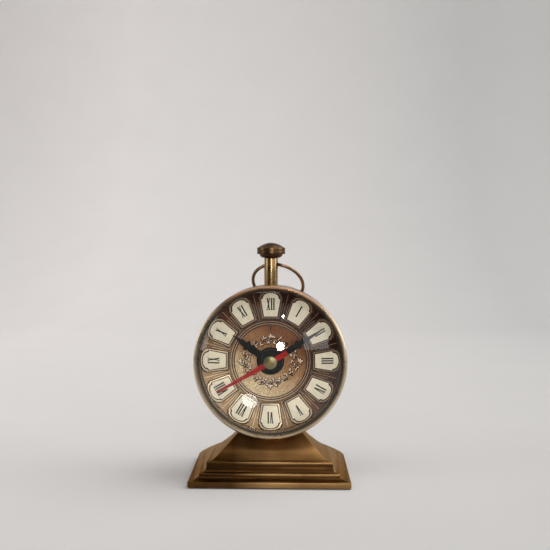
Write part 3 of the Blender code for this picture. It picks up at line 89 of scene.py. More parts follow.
# Base
SLAB_HEIGHT = 3.1
SLAB_ARRIS = 0.3
LOWER_COVE = (4.4, 1.85)
UPPER_COVE = (1.7, 3.6)
STEP_UPRIGHT = 0.45
STEP_ROUND = 0.4
LOWER_LEDGE_RUN = 1.1
UPPER_LEDGE_RUN = 2.3
LEDGE_RISE = 0.2
SADDLE_RISE = 3.85
FLARE = (4.0, 3.2)
NECK_INSET = 21.9
NECK_BACK = 6.5
NECK_FOOT_RISE = 0.5
PLAIN_TOP_RUN = 1.9
PLAIN_POWER = 1.2
BASE_TONE_REACH = 16.0
# Painted light and shade from the left to the right of the base's front: painted shade on the left, a painted
# highlight in the middle: (share of the width, factor)
FRONT_LIGHT_AND_SHADE_TONES = ((0.0, 0.3), (0.27, 0.27), (0.42, 1.0), (0.5, 1.3), (0.72, 0.8), (1.0, 0.9))
# Painted shade in the hollows and painted highlights on the ledges of the base's front mouldings: (height in
# millimetres, factor)
MOULDING_SHADE_AND_HIGHLIGHT_TONES = (
    (0.0, 1.0), (2.4, 1.25), (3.0, 1.25), (3.3, 0.11), (4.8, 0.14), (5.05, 0.8), (5.7, 1.25), (6.2, 0.11),
    (9.1, 0.14), (9.8, 0.8), (10.4, 1.25), (10.9, 0.55), (12.5, 0.62), (14.5, 1.0),
)
# Darkest factor of the base's painted shade
BASE_TONE_FLOOR = 0.16
FOOT_TINT = (0.78, 0.6, 0.42)
HIP_RADIUS = 0.45
RIM_WALL = 2.4
RECESS_TOP = 2.3
CEILING_DEPTH = 3.6
PLATE_SCREW_SPACING = 40.0
PLATE_BOSS_RADIUS = 3.0
PLATE_SCREW_RADIUS = 1.0
PLATE_SCREW_TOP = 7.4
BASE_SCREW_RADIUS = 1.5
BASE_SCREW_BACK = 1.25
FELT_CORNER = 1.2
FELT_HOLE = 2.5
FELT_WOBBLE = 0.12
FELT_STEP = 1.5
FELT_EDGE = 0.18

# Drum, bezel and lens, forward of the drum's own origin
CASE_REAR, _, CASE_RADIUS = depth_of("case_drum")
CASE_SHOULDER = 6.0
CASE_CORNER = 2.5
CASE_BORE = 34.2
CASE_BACK_WALL = 1.5
NECK_RADIUS = 35.4
NECK_BORE = 34.2
NECK_FRONT = 8.55
DIAL_SEAT = 3.3
DIAL_LEDGE = (31.5, 2.1)
ACCESS_RADIUS = 22.6
SPIGOT_RADIUS = 1.5
BEZEL_REAR, BEZEL_FRONT, BEZEL_RADIUS = depth_of("bezel")
BEZEL_BORE = 35.7
BEZEL_LIP = 34.8
LIP_BACK = 12.45
# Profile beside the lip and beside the rim: (away from it, back from the front, rounding)
BEZEL_BEAD = ((0.0, 0.35, 0.12), (0.2, 0.22, 0.1), (0.45, 0.22, 0.05), (0.52, 0.02, 0.08))
BEZEL_SHOULDER = ((0.75, 0.0, 0.4), (0.1, 0.45, 0.4), (0.0, 1.1, 0.3))
# Turned lines: (place, half width, depth)
BEZEL_LINE = (8.1, 0.2, 0.14)
LENS_RADIUS = 35.4
LENS_BACK = 9.95
LENS_SHOULDER = 12.15
DOME_RADIUS = 34.5
LENS_RISE = 10.0
GASKET = (33.4, 8.85, 35.4, 9.65)
DIAL_RING = (33.1, 33.9, 4.4, 8.55)
FLUTES = 180
FLUTE_DEPTH = 0.12
COVER_WALL = 1.0
COVER_DISH = 0.12
COVER_LINES = ((6.0, 0.25, 0.22), (12.0, 0.25, 0.22), (18.0, 0.25, 0.22))
COVER_RIM = (20.5, 21.3)

# Dial: the plate fills the depth of its node, and its relief rises in thin layers
DIAL_BACK, DIAL_TOP, DIAL_RADIUS = depth_of("dial_plate")
DIAL_FACE = DIAL_TOP - 0.40
DIAL_BORE = 3.75
DIAL_SINK = 0.05
RELIEF_ROOT = 0.03
DISC_RADIUS = 16.1
DISC_RISE = 0.05
HUB_RING = ((4.6, -0.02), (6.0, -0.02), (5.9, 0.12), (4.6, 0.12))
CARTOUCHE_FOOT = 19.5
CARTOUCHE_SPRING = 28.3
CARTOUCHE_CROWN = 30.5
CARTOUCHE_FOOT_HALF = 2.95
CARTOUCHE_SIDE_HALF = 4.3
CARTOUCHE_EAR = 0.85
NUMERAL_FOOT = 22.5
NUMERAL_HEIGHT = 5.5
NUMERALS = ("XII", "I", "II", "III", "IV", "V", "VI", "VII", "VIII", "IX", "X", "XI")
NARROW_LETTER, WIDE_LETTER = 1.02, 1.95
THICK_STROKE, THIN_STROKE, SERIF = 0.62, 0.3, 0.26
TRACK = (31.35, 33.0)
TICK_HALF, HOUR_TICK_HALF = 0.13, 0.28
# Ribs between the hours: (degrees off the middle, inner end, outer end)
BAND_RIBS = ((-2.42, 18.2, 26.5), (0.0, 18.0, 30.6), (2.42, 18.2, 26.5))
RIB_HALF = (0.1, 0.13)

# Wreath: (radius, length, width) of the leaves of each row
WREATH_ROWS = ((7.7, 1.4, 0.5), (8.9, 1.5, 0.55), (10.1, 1.4, 0.5))
WREATH_LEAVES = 36
WREATH_CURLS = 18
WREATH_STRETCH = 0.16
CURL_PLACE, CURL_RADIUS, CURL_TURN = 9.8, 0.75, 4.2
CURL_STEPS = 12
QUARTER_TIPS = (14.4, 12.2, 14.4, 12.2)
# Leaves at a quarter: (back from the tip, turn, length, width)
QUARTER_LEAVES = ((1.9, 0.0, 1.8, 0.8), (1.8, -1.1, 1.3, 0.65), (1.8, 1.1, 1.3, 0.65))
STALK_FOOT, STALK_LENGTH, STALK_BAR = 13.1, 2.1, 15.1
LEAF_STEPS = 8
LEAF_SHADE = 0.36

# Hands, turned clockwise from twelve
HOUR_HAND_TURN = math.radians(304.83)
MINUTE_HAND_TURN = math.radians(58.0)
SECOND_HAND_TURN = math.radians(240.0)
# Bosses and bores, and one side of each hand from its boss to the tip: (half width, height, rounding)
HOUR_HAND = (5.3, 2.65)
HOUR_HAND_SIDE = (
    (1.7, 4.9, 0), (1.45, 8.0, 0.6), (1.9, 9.6, 0.6), (1.45, 11.2, 0.5), (2.55, 12.9, 0.12), (1.2, 13.5, 0.3),
    (1.35, 15.2, 0.6), (0.7, 16.8, 0.6), (0.1, 20.6, 0.05),
)
MINUTE_HAND = (4.2, 1.8)
MINUTE_HAND_SIDE = (
    (1.6, 3.9, 0), (1.2, 8.0, 0.8), (1.45, 11.0, 0.8), (1.2, 13.2, 0.5), (2.35, 15.0, 0.12), (1.0, 15.9, 0.3),
    (1.2, 18.4, 0.8), (0.7, 20.7, 0.8), (0.12, 28.7, 0.05),
)
SECOND_HAND = (2.0, 0.9)
SECOND_HAND_HALF, SECOND_HAND_TIP_HALF = 1.15, 0.45
SECOND_HAND_LENGTH = 28.3
SECOND_HAND_TAIL = 8.6
HAND_EDGE, SECOND_HAND_EDGE = 0.1, 0.07
CAP_FACE = ((0, -0.14), (1.25, -0.12), (1.32, -0.04), (1.45, -0.02))
CAP_WALL = 0.25
CAP_PIN = 1.2
MOUNTING_BORE = 3.75

# Knob, stem and bow ring
KNOB_RADIUS = KNOB_HIGH.x
KNOB_UNDERSIDE = 1.7
KNOB_BAND = 3.2
KNOB_GROOVE = 0.35
KNOB_SHOULDER = 0.45
KNOB_STEP = 1.2
# Painted shade and highlight up the knob: (share of its height, factor)
KNOB_SHADE_AND_HIGHLIGHT_TONES = ((0.0, 0.3), (0.22, 0.6), (0.4, 1.0), (0.75, 1.25), (0.95, 0.5))
KNOB_DOME_POWER = 1.95
KNOB_DOME_STEPS = 20
STEM_FOOT_GAP = 0.02
KNOB_BORE_DEPTH = 4.0
STEM_RADIUS = STEM_HIGH.x
BOW_HOLE = Vector((0, STEM_BACK, 103.35))
BOW_HOLE_RADIUS = 1.6
BOW_TURN = math.radians(-13.0)
BOW_LEAN = math.radians(40.56)
BOW_RADIUS = 12.8
BOW_WIRE = 0.825
BOW_SLIP = 1.55
BOW_DROP = 12.3125

# Camera, fitted to the photograph
CAMERA_PLACE = Vector((8.2, -375.5, 114.2)) * MM
CAMERA_YAW = math.radians(0.95)
CAMERA_PITCH = math.radians(2.39)
CAMERA_ROLL = math.radians(-0.17)
CAMERA_LENS = 50.07
CAMERA_SENSOR = 36.0

# Stage and light, in metres
STAGE_HALF = 2.2
STAGE_FRONT, STAGE_WALL, STAGE_BEND, STAGE_TOP = -0.6, 1.15, 0.55, 2.4
# Factor from the front of the floor to the backdrop: painted shade towards the front, brighter on the
# backdrop: (share of the depth, factor)
FLOOR_TONES = ((0.0, 0.12), (0.1, 0.16), (0.19, 0.8), (0.32, 0.95), (0.6, 1.25), (1.0, 1.35))
LAMP_TARGET = Vector((0, 0, 0.055))
WARM_LIGHT, WHITE_LIGHT, COOL_LIGHT = (1.0, 0.98, 0.95), (1, 1, 1), (0.96, 0.98, 1.0)
SKY_COLOUR = (1.0, 0.99, 0.98)
SKY_FADE = (-0.5, 0.3, 0.03, 0.3)


# Shader building

class Shader:
    """The nodes of a material or of the world, built up step by step."""

    def __init__(self, name, blocks=bpy.data.materials, main="Principled BSDF"):
        self.data = blocks.new(name)
        self.data.use_nodes = True
        self.tree = self.data.node_tree
        self.main = self.tree.nodes[main]
        self.where = self.place("Object")

    def node(self, kind, inputs=(), **settings):
        """A new node. Its inputs are named or numbered, and take a value or the output of a node."""
        node = self.tree.nodes.new(kind)
        for key, value in settings.items():
            setattr(node, key, value)
        for key, value in dict(inputs).items():
            self.fill(node.inputs[key], value)
        return node

    def fill(self, socket, value):
        if isinstance(value, bpy.types.NodeSocket):
            self.tree.links.new(value, socket)
        elif hasattr(value, "__len__") and len(value) == 3 and socket.type == "RGBA":
            socket.default_value = (*value, 1)
        else:
            socket.default_value = value

    def set(self, **values):
        for key, value in values.items():
            self.fill(self.main.inputs[key.replace("_", " ")], value)

    def rough(self, grain, low, high):
        self.set(Roughness=self.span(grain, 0.3, 0.7, low, high))

    def colour(self):
        """What already runs into the base colour."""
        return self.main.inputs["Base Color"].links[0].from_socket

    def place(self, output):
        return self.node("ShaderNodeTexCoord").outputs[output]

    def split(self, vector):
        return self.node("ShaderNodeSeparateXYZ", {0: vector}).outputs

    def along(self, axis, low, high):
        """How far a point lies between two places on an axis, in millimetres."""
        return self.span(self.split(self.where)[axis], low * MM, high * MM)

    def math(self, operation, a, b=0.0):
        return self.node("ShaderNodeMath", {0: a, 1: b}, operation=operation).outputs[0]

    def stretched(self, scale):
        return self.node("ShaderNodeMapping", {"Vector": self.where, "Scale": scale}).outputs[0]

    def noise(self, scale, detail, roughness=0.55, vector=None):
        vector = self.where if vector is None else vector
        inputs = {"Vector": vector, "Scale": scale, "Detail": detail, "Roughness": roughness}
        return self.node("ShaderNodeTexNoise", inputs).outputs["Fac"]

    def cells(self, scale, feature="F1"):
        inputs = {"Vector": self.where, "Scale": scale}
        return self.node("ShaderNodeTexVoronoi", inputs, feature=feature).outputs["Distance"]

    def span(self, value, low, high, new_low=0.0, new_high=1.0):
        inputs = {"Value": value, "From Min": low, "From Max": high, "To Min": new_low, "To Max": new_high}
        return self.node("ShaderNodeMapRange", inputs).outputs[0]

    def mix(self, factor, first, second, blend="MIX"):
        inputs = {0: factor, 6: first, 7: second}
        return self.node("ShaderNodeMix", inputs, data_type="RGBA", blend_type=blend).outputs[2]

    def times(self, first, second):
        return self.mix(1.0, first, second, "MULTIPLY")

    def bands(self, value, *stops):
        """A colour ramp through (place, colour) stops. A plain number is a grey."""
        node = self.node("ShaderNodeValToRGB", {0: value})
        ramp = node.color_ramp
        for i, (place, colour) in enumerate(stops):
            stop = ramp.elements[i] if i < 2 else ramp.elements.new(place)
            stop.position = place
            stop.color = (*(colour if hasattr(colour, "__len__") else (colour,) * 3), 1)
        return node.outputs[0]

    def bump(self, height, strength, distance, below=None):
        inputs = {"Height": height, "Strength": strength, "Distance": distance}
        if below is not None:
            inputs["Normal"] = below
        return self.node("ShaderNodeBump", inputs).outputs[0]

    def around(self, axis, axis_scale, ring_scale):
        """Coordinates that run round an axis, for marks left by turning."""
        along, across, middle = axis
        place = self.split(self.where)
        a, b = (self.math("SUBTRACT", place[i], start) for i, start in zip(across, middle))
        radius = self.math("SQRT", self.math("ADD", self.math("MULTIPLY", a, a), self.math("MULTIPLY", b, b)))
        turn = self.math("SINE", self.math("ARCTAN2", a, b))
        scales = ((radius, axis_scale), (place[along], axis_scale), (turn, ring_scale))
        inputs = {i: self.math("MULTIPLY", *pair) for i, pair in enumerate(scales)}
        return self.node("ShaderNodeCombineXYZ", inputs).outputs[0]


def metal(name, light, dark, rough=(0.2, 0.36), axis=CLOCK_AXIS, brushed=None,
          patina=0.5, bump=0.12, specks=0.3):
    """Worn metal: cloudy patina, small dark specks and fine marks, turned about an axis or brushed."""
    shader = Shader(name)
    if brushed:
        marks = shader.noise(1.0, 5, vector=shader.stretched(brushed))
    else:
        marks = shader.noise(1.0, 4, vector=shader.around(axis, 1600, 2.0))
    cloud = shader.span(shader.noise(55, 6, 0.62), 0.5 - patina / 2, 0.5 + patina / 2)
    colour = shader.mix(cloud, dark, light)
    speck = shader.span(shader.noise(1900, 3, 0.7), 0.62, 0.74)
    colour = shader.mix(shader.math("MULTIPLY", speck, specks), colour, tuple(c * 0.35 for c in dark))
    streak = shader.span(marks, 0.3, 0.7, 0.88, 1.1)
    streaks = shader.node("ShaderNodeCombineColor", {0: streak, 1: streak, 2: streak}).outputs[0]
    shader.set(Base_Color=shader.times(colour, streaks), Metallic=1.0)
    shader.rough(shader.noise(140, 5), *rough)
    shader.set(Normal=shader.bump(marks, bump, 0.00006))
    return shader


def warm(tone):
    """A grey factor that turns warmer the darker it is."""
    return tone, tone ** 1.14, tone ** 1.3


def make_base_brass():
    """Aged brass with painted shade in the hollows of its front mouldings, painted highlights on their
    ledges, and painted light and shade from left to right across its front.
    """
    shader = metal("base brass", (0.36, 0.205, 0.082), (0.22, 0.118, 0.043), (0.34, 0.46),
                   brushed=(45, 45, 1500), patina=0.55, bump=0.16, specks=0.15)
    facing = shader.split(shader.place("Normal"))
    sideways = shader.math("MAXIMUM", shader.math("ABSOLUTE", facing[0]), facing[1])
    moulded = shader.span(sideways, 0.45, 0.15)
    height = shader.along(2, 0.0, BASE_TONE_REACH)
    # Painted shade in the hollows and painted highlights on the ledges, by height, on the faces that look
    # forward
    tint = shader.bands(height, *((level / BASE_TONE_REACH, warm(tone)) for level, tone in MOULDING_SHADE_AND_HIGHLIGHT_TONES))
    # Painted light and shade across the front, darkest on the left
    across = shader.along(0, BASE_LOW.x, BASE_HIGH.x)
    side_to_side_shade = shader.bands(across, *((place, warm(tone)) for place, tone in FRONT_LIGHT_AND_SHADE_TONES))
    tone = shader.mix(1.0, shader.times(tint, side_to_side_shade), warm(BASE_TONE_FLOOR), "LIGHTEN")
    front = shader.times(shader.colour(), tone)
    dull = shader.mix(0.6, shader.colour(), (0.25, 0.168, 0.095))
    dull = shader.times(dull, shader.bands(height, (0.0, FOOT_TINT), (0.31, FOOT_TINT), (0.42, 1.0)))
    shader.set(Base_Color=shader.mix(moulded, dull, front), Specular_Tint=(0.9, 0.7, 0.5))
    return shader.data


def make_bezel_brass():
    """Pale brass that is lighter at the outer edge and browner towards the glass, with painted shade towards
    its top.
    """
    shader = metal("bezel brass", (0.80, 0.69, 0.53), (0.55, 0.45, 0.32), (0.24, 0.36), patina=0.7)
    # Lighter at the outer edge, browner towards the glass
    radius = shader.split(shader.around(CLOCK_AXIS, 1.0, 0.0))[0]
    outward = shader.span(radius, DOME_RADIUS * MM, BEZEL_RADIUS * MM)
    edge = shader.bands(outward, (0.0, (0.22, 0.18, 0.13)), (0.35, (0.5, 0.43, 0.34)), (0.6, 1.0))
    # Painted shade: darker from the middle of the bezel up to its top
    height = shader.along(2, CENTRE, BEZEL_HIGH.z)
    crown = shader.bands(height, (0.0, 1.0), (0.45, (0.8, 0.76, 0.72)), (0.9, (0.36, 0.25, 0.2)))
    shader.set(Base_Color=shader.times(shader.colour(), shader.times(edge, crown)))
    return shader.data


def make_knob_brass():
    """Brown brass with painted shade on top of the crown knob and under it, and a painted highlight between
    them.
    """
    shader = metal("knob brass", (0.155, 0.088, 0.041), (0.09, 0.048, 0.022), (0.24, 0.36), STEM_AXIS)
    # Painted shade under the knob and on its dome, and a painted highlight between them
    tone = shader.bands(shader.along(2, KNOB_LOW.z, KNOB_HIGH.z), *KNOB_SHADE_AND_HIGHLIGHT_TONES)
    shader.set(Base_Color=shader.times(shader.colour(), tone))
    return shader.data


def make_black_lacquer():
    shader = Shader("black lacquer")
    dust = shader.span(shader.noise(2500, 3), 0.55, 0.8)
    shader.set(Base_Color=shader.mix(dust, (0.003, 0.004, 0.004), (0.012, 0.015, 0.013)))
    shader.set(Metallic=0.0, Specular_IOR_Level=0.12)
    shader.rough(shader.noise(500, 3), 0.4, 0.55)
    shader.set(Normal=shader.bump(shader.noise(1800, 3), 0.05, 0.00004))
    return shader.data


def make_paint(name, light, dark, rough=(0.35, 0.5), scale=260.0, bump=0.08, gloss=0.5):
    """Printed, lacquered or moulded colour with faint stains and a fine grain."""
    shader = Shader(name)
    stain = shader.span(shader.noise(scale, 6, 0.65), 0.38, 0.68)
    shader.set(Base_Color=shader.mix(stain, light, dark), Specular_IOR_Level=gloss)
    shader.rough(shader.noise(900, 3), *rough)
    shader.set(Normal=shader.bump(shader.noise(2200, 3), bump, 0.00003))
    return shader.data


def make_dial_metal(name, top, bottom, stipple, metallic, rough, ribs=0.0, reach=24.0, lean=0.45):
    """Embossed dial metal with painted shade towards the top and painted light towards the lower left."""
    shader = Shader(name)
    # Painted light and shade: the colour runs from the bottom colour at the lower left to the top colour at
    # the top
    place = shader.split(shader.where)
    upward = shader.math("SUBTRACT", place[2], CENTRE * MM)
    slope = shader.math("ADD", upward, shader.math("MULTIPLY", place[0], lean))
    slope = shader.math("DIVIDE", slope, math.hypot(1.0, lean))
    cloud = shader.span(shader.noise(150, 5, 0.6), 0.2, 0.8, -5 * MM, 5 * MM)
    share = shader.span(shader.math("ADD", slope, cloud), -reach * MM, reach * MM)
    middle = tuple(math.sqrt(a * b) for a, b in zip(top, bottom))
    colour = shader.bands(share, (0.0, bottom), (0.5, middle), (0.9, top))
    grain = shader.noise(1500, 3, 0.6)
    shade = shader.math("MULTIPLY", shader.span(grain, 0.35, 0.65), 0.35 + 0.4 * stipple)
    colour = shader.mix(shade, colour, tuple(c * 0.45 for c in top))
    shader.set(Base_Color=colour, Metallic=metallic, Specular_IOR_Level=0.1)
    shader.rough(grain, *rough)
    normal = shader.bump(grain, 0.15 + stipple, 0.00008)
    if stipple:
        normal = shader.bump(shader.cells(1700), stipple, 0.00012, normal)
    if ribs:
        rays = shader.noise(1.0, 2, vector=shader.around(CLOCK_AXIS, 2.0, ribs))
        normal = shader.bump(rays, 0.5, 0.0001, normal)
    shader.set(Normal=normal)
    return shader.data


def make_glass():
    """Solid lens glass. Lamp light goes straight through it, so that the dial is lit."""
    shader = Shader("lens glass")
    shader.tree.nodes.remove(shader.main)
    glass = shader.node("ShaderNodeBsdfGlass", {"Color": (0.985, 0.985, 0.97), "Roughness": 0.0, "IOR": 1.5})
    clear = shader.node("ShaderNodeBsdfTransparent", {"Color": (0.94, 0.935, 0.91)})
    lamp_light = shader.node("ShaderNodeLightPath").outputs["Is Shadow Ray"]
    both = shader.node("ShaderNodeMixShader", {0: lamp_light, 1: glass.outputs[0], 2: clear.outputs[0]})
    shader.fill(shader.tree.nodes["Material Output"].inputs["Surface"], both.outputs[0])
    return shader.data


def make_felt():
    shader = Shader("green felt")
    fuzz = shader.noise(2600, 6, 0.75)
    shader.set(Base_Color=shader.mix(shader.span(fuzz, 0.3, 0.7), (0.012, 0.05, 0.025), (0.035, 0.11, 0.055)))
    shader.set(Roughness=0.95, Sheen_Weight=0.4, Sheen_Roughness=0.5)
    shader.set(Normal=shader.bump(fuzz, 0.5, 0.0002, shader.bump(shader.cells(900), 0.3, 0.0003)))
    return shader.data


def make_board():
    shader = Shader("board green")
    weave = shader.noise(1.0, 2, vector=shader.stretched((2400, 400, 2400)))
    tracks = shader.span(shader.cells(700, "DISTANCE_TO_EDGE"), 0.05, 0.12)
    colour = shader.mix(tracks, (0.05, 0.19, 0.07), (0.012, 0.085, 0.035))
    shader.set(Base_Color=colour, Roughness=0.35)
    shader.set(Normal=shader.bump(tracks, 0.3, 0.00005, shader.bump(weave, 0.2, 0.00004)))
    return shader.data


BASE_BRASS = make_base_brass()
CASE_BRASS = metal("case brass", (0.36, 0.215, 0.105), (0.19, 0.105, 0.048), patina=0.6).data
BEZEL_BRASS = make_bezel_brass()
STEM_BRASS = metal("stem brass", (0.46, 0.31, 0.14), (0.29, 0.175, 0.075), (0.22, 0.34), STEM_AXIS).data
KNOB_BRASS = make_knob_brass()
RING_BRASS = metal("ring brass", (0.30, 0.195, 0.105), (0.15, 0.09, 0.048), (0.18, 0.3),
                   brushed=(500, 500, 500)).data
CAP_BRASS = metal("cap brass", (0.38, 0.37, 0.21), (0.23, 0.2, 0.1), (0.25, 0.4)).data
PALE_BRASS = metal("pale brass", (0.66, 0.48, 0.22), (0.45, 0.3, 0.12), (0.2, 0.34)).data
STEEL = metal("steel", (0.56, 0.56, 0.57), (0.33, 0.32, 0.31), (0.22, 0.38), brushed=(900, 60, 900)).data
NICKEL = metal("nickel", (0.66, 0.63, 0.58), (0.42, 0.4, 0.36), (0.15, 0.28)).data
COPPER = metal("copper wire", (0.62, 0.22, 0.09), (0.35, 0.1, 0.04), (0.2, 0.35),
               brushed=(3000, 40, 40), bump=0.5).data
LACQUER = make_black_lacquer()
MOULDED = {"scale": 420.0, "bump": 0.15}
RUBBER = make_paint("black rubber", (0.009, 0.006, 0.004), (0.022, 0.014, 0.01), (0.6, 0.8), **MOULDED)
BLACK_PLASTIC = make_paint("black plastic", (0.016, 0.016, 0.017), (0.035,) * 3, (0.3, 0.5), **MOULDED)
WHITE_PLASTIC = make_paint("white plastic", (0.74, 0.72, 0.66), (0.6, 0.57, 0.5), **MOULDED)
BOARD = make_board()
FELT = make_felt()
GLASS = make_glass()
RED_PAINT = make_paint("red paint", (0.29, 0.004, 0.005), (0.2, 0.003, 0.004), (0.4, 0.5), gloss=0.15)
ENAMEL = make_paint("cream enamel", (0.72, 0.66, 0.54), (0.62, 0.54, 0.41), (0.4, 0.5), gloss=0.2)
INK = make_paint("black ink", (0.008, 0.008, 0.007), (0.02, 0.018, 0.015), (0.4, 0.55), gloss=0.15)
SEPIA = make_paint("dark sepia", (0.012, 0.006, 0.004), (0.03, 0.015, 0.01), (0.4, 0.55), gloss=0.15)
# Dial metals, each with painted shade at the top and painted light at the lower left
FIELD = make_dial_metal("stippled copper", (0.16, 0.055, 0.018), (0.86, 0.68, 0.44), 0.6, 0.1, (0.5, 0.6),
                        reach=14.0, lean=0.75)
BAND = make_dial_metal("dial bronze", (0.022, 0.006, 0.003), (0.36, 0.23, 0.125), 0.0, 0.15, (0.45, 0.6),
                       ribs=40.0, lean=0.9)
FRAME = make_dial_metal("frame gold", (0.2, 0.11, 0.065), (0.80, 0.64, 0.45), 0.0, 0.35, (0.22, 0.36),
                        lean=0.9)
SCROLL = make_dial_metal("scroll copper", (0.72, 0.5, 0.38), (0.95, 0.8, 0.64), 0.0, 0.25, (0.2, 0.34))
TRACK_BRONZE = make_dial_metal("track bronze", (0.06, 0.04, 0.028), (0.20, 0.13, 0.075), 0.6, 0.3,
                               (0.25, 0.4))


# Mesh building, in millimetres

def polar(radius, angle, *height):
    return (radius * math.cos(angle), radius * math.sin(angle), *height)


def rectangle(left, bottom, right, top):
    return [(left, bottom), (right, bottom), (right, top), (left, top)]


def about_z(angle):
    return Matrix.Rotation(angle, 4, "Z")


def arc(centre, radii, start, end, steps=ARC_STEPS):
    """Points on an ellipse from one angle to another, in degrees."""
    turns = [math.radians(start + (end - start) * i / steps) for i in range(steps + 1)]
    return [(centre[0] + radii[0] * math.cos(t), centre[1] + radii[1] * math.sin(t)) for t in turns]


def circle(radius, centre=(0, 0), steps=SMALL_TURN):
    return arc(centre, (radius, radius), 0, 360, steps)[:-1]


def softened(corners, steps=4):
    """A closed outline of (x, y) or (x, y, radius), with those corners rounded."""
    points = []
    count = len(corners)
    for i, corner in enumerate(corners):
        here = Vector(corner[:2])
        if len(corner) == 2 or not corner[2]:
            points.append(here[:])
            continue
        before = Vector(corners[i - 1][:2]) - here
        after = Vector(corners[(i + 1) % count][:2]) - here
        half = before.angle(after) / 2
        cut = min(corner[2] / math.tan(half), 0.48 * before.length, 0.48 * after.length)
        start = here + before.normalized() * cut
        end = here + after.normalized() * cut
        for s in range(steps + 1):
            t = s / steps
            points.append((start * (1 - t) ** 2 + here * 2 * t * (1 - t) + end * t * t)[:])
    return points


def new_mesh(work):
    bmesh.ops.recalc_face_normals(work, faces=work.faces)
    mesh = bpy.data.meshes.new("shape")
    work.to_mesh(mesh)
    work.free()
    return mesh


def skinned(work, rings, closed):
    """A mesh through rings of points. Where a ring is one point, its faces are triangles."""
    for ring, after in zip(rings, rings[1:] + rings[:1] * closed):
        sides = max(len(ring), len(after))
        for i in range(sides if sides > 1 else 0):
            j = (i + 1) % sides
            corners = ring[i % len(ring)], ring[j % len(ring)], after[j % len(after)], after[i % len(after)]
            work.faces.new(tuple(dict.fromkeys(corners)))
    if not closed:
        work.faces.new(rings[0][::-1])
        work.faces.new(rings[-1])
    return new_mesh(work)


def turned(outline, segments=FINE_TURN):
    """A closed (radius, height) outline turned about the upright axis."""
    work = bmesh.new()
    rings = []
    for radius, height in outline:
        turns = [2 * math.pi * i / segments for i in range(segments if radius > 1e-6 else 1)]
        rings.append([work.verts.new(polar(radius, t, height)) for t in turns])
    return skinned(work, rings, True)


def rod(radius, low, high):
    return turned(rectangle(0, low, radius, high), SMALL_TURN)


def plate(outlines, low, high, edge=0.0, rounding=2):
    """Closed outlines filled and thickened, with rounded edges. An inner outline is a hole."""
    curve = bpy.data.curves.new("outline", "CURVE")
    curve.dimensions = "2D"
    curve.fill_mode = "BOTH"
    for outline in outlines:
        spline = curve.splines.new("POLY")
        spline.points.add(len(outline) - 1)
        for point, (x, y) in zip(spline.points, outline):
            point.co = (x, y, 0, 1)
        spline.use_cyclic_u = True
    curve.extrude = (high - low) / 2 - edge
    if edge:
        curve.bevel_depth = edge
        curve.bevel_resolution = rounding
        curve.offset = -edge
    holder = bpy.data.objects.new("outline", curve)
    mesh = bpy.data.meshes.new_from_object(holder)
    bpy.data.objects.remove(holder)
    bpy.data.curves.remove(curve)
    work = bmesh.new()
    work.from_mesh(mesh)
    bpy.data.meshes.remove(mesh)
    bmesh.ops.remove_doubles(work, verts=work.verts, dist=1e-5)
    bmesh.ops.translate(work, verts=work.verts, vec=(0, 0, (low + high) / 2))
    return new_mesh(work)


def stamped(polygons, low, high):
    """Overlapping polygons joined into one flat shape and thickened."""
    points = [Vector(p) for polygon in polygons for p in polygon]
    faces = []
    first = 0
    for polygon in polygons:
        faces.append(list(range(first, first + len(polygon))))
        first += len(polygon)
    flat_points, _, triangles, _, _, _ = delaunay_2d_cdt(points, [], faces, 1, 1e-5)
    work = bmesh.new()
    top = [work.verts.new((p.x, p.y, high)) for p in flat_points]
    bottom = [work.verts.new((p.x, p.y, low)) for p in flat_points]
    seen = {}
    for triangle in triangles:
        work.faces.new([top[i] for i in triangle])
        work.faces.new([bottom[i] for i in reversed(triangle)])
        for a, b in zip(triangle, triangle[1:] + triangle[:1]):
            seen[a, b] = True
    for a, b in seen:
        if (b, a) not in seen:
            work.faces.new((top[b], top[a], bottom[a], bottom[b]))
    loose = [v for v in work.verts if not v.link_faces]
    bmesh.ops.delete(work, geom=loose, context="VERTS")
    return new_mesh(work)


def tube(points, radii, sides, closed=False):
    """A round tube along points, with a radius at each point."""
    points = [Vector(p) for p in points]
    count = len(points)
    work = bmesh.new()
    rings = []
    side = None
    for i, (point, radius) in enumerate(zip(points, radii)):
        before = points[i - 1] if closed or i else point
        after = points[(i + 1) % count] if closed or i < count - 1 else point
        along = (after - before).normalized()
        if side is None:
            side = along.orthogonal().normalized()
        side = (side - along * side.dot(along)).normalized()
        up = along.cross(side)
        turns = [2 * math.pi * k / sides for k in range(sides)]
        spokes = [(side * math.cos(t) + up * math.sin(t)) * radius for t in turns]
        rings.append([work.verts.new(point + spoke) for spoke in spokes])
    return skinned(work, rings, closed)


def rounded(back, front, radius, steps=4):
    """An outline with round corners, from its half width and depth at the back and in front."""
    points = []
    corners = (back[0], back[1]), (-back[0], back[1]), (-front[0], -front[1]), (front[0], -front[1])
    for i, (x, y) in enumerate(corners):
        centre = (x - math.copysign(radius, x), y - math.copysign(radius, y))
        points += arc(centre, (radius, radius), 90 * i, 90 * (i + 1), steps)
    return points


def loft(levels, radius):
    """A solid through level outlines with round corners: (back, front, height)."""
    work = bmesh.new()
    rings = []
    for back, front, height in levels:
        rings.append([work.verts.new((*p, height)) for p in rounded(back, front, radius)])
    return skinned(work, rings, False)


def moved(mesh, *place):
    mesh.transform(Matrix.Translation(place))
    return mesh


def at(mesh, matrix):
    mesh.transform(matrix)
    return mesh


def joined(meshes):
    work = bmesh.new()
    for mesh in meshes:
        work.from_mesh(mesh)
        bpy.data.meshes.remove(mesh)
    return new_mesh(work)


def in_scene(name, data):
    obj = bpy.data.objects.new(name, data)
    bpy.context.scene.collection.objects.link(obj)
    return obj


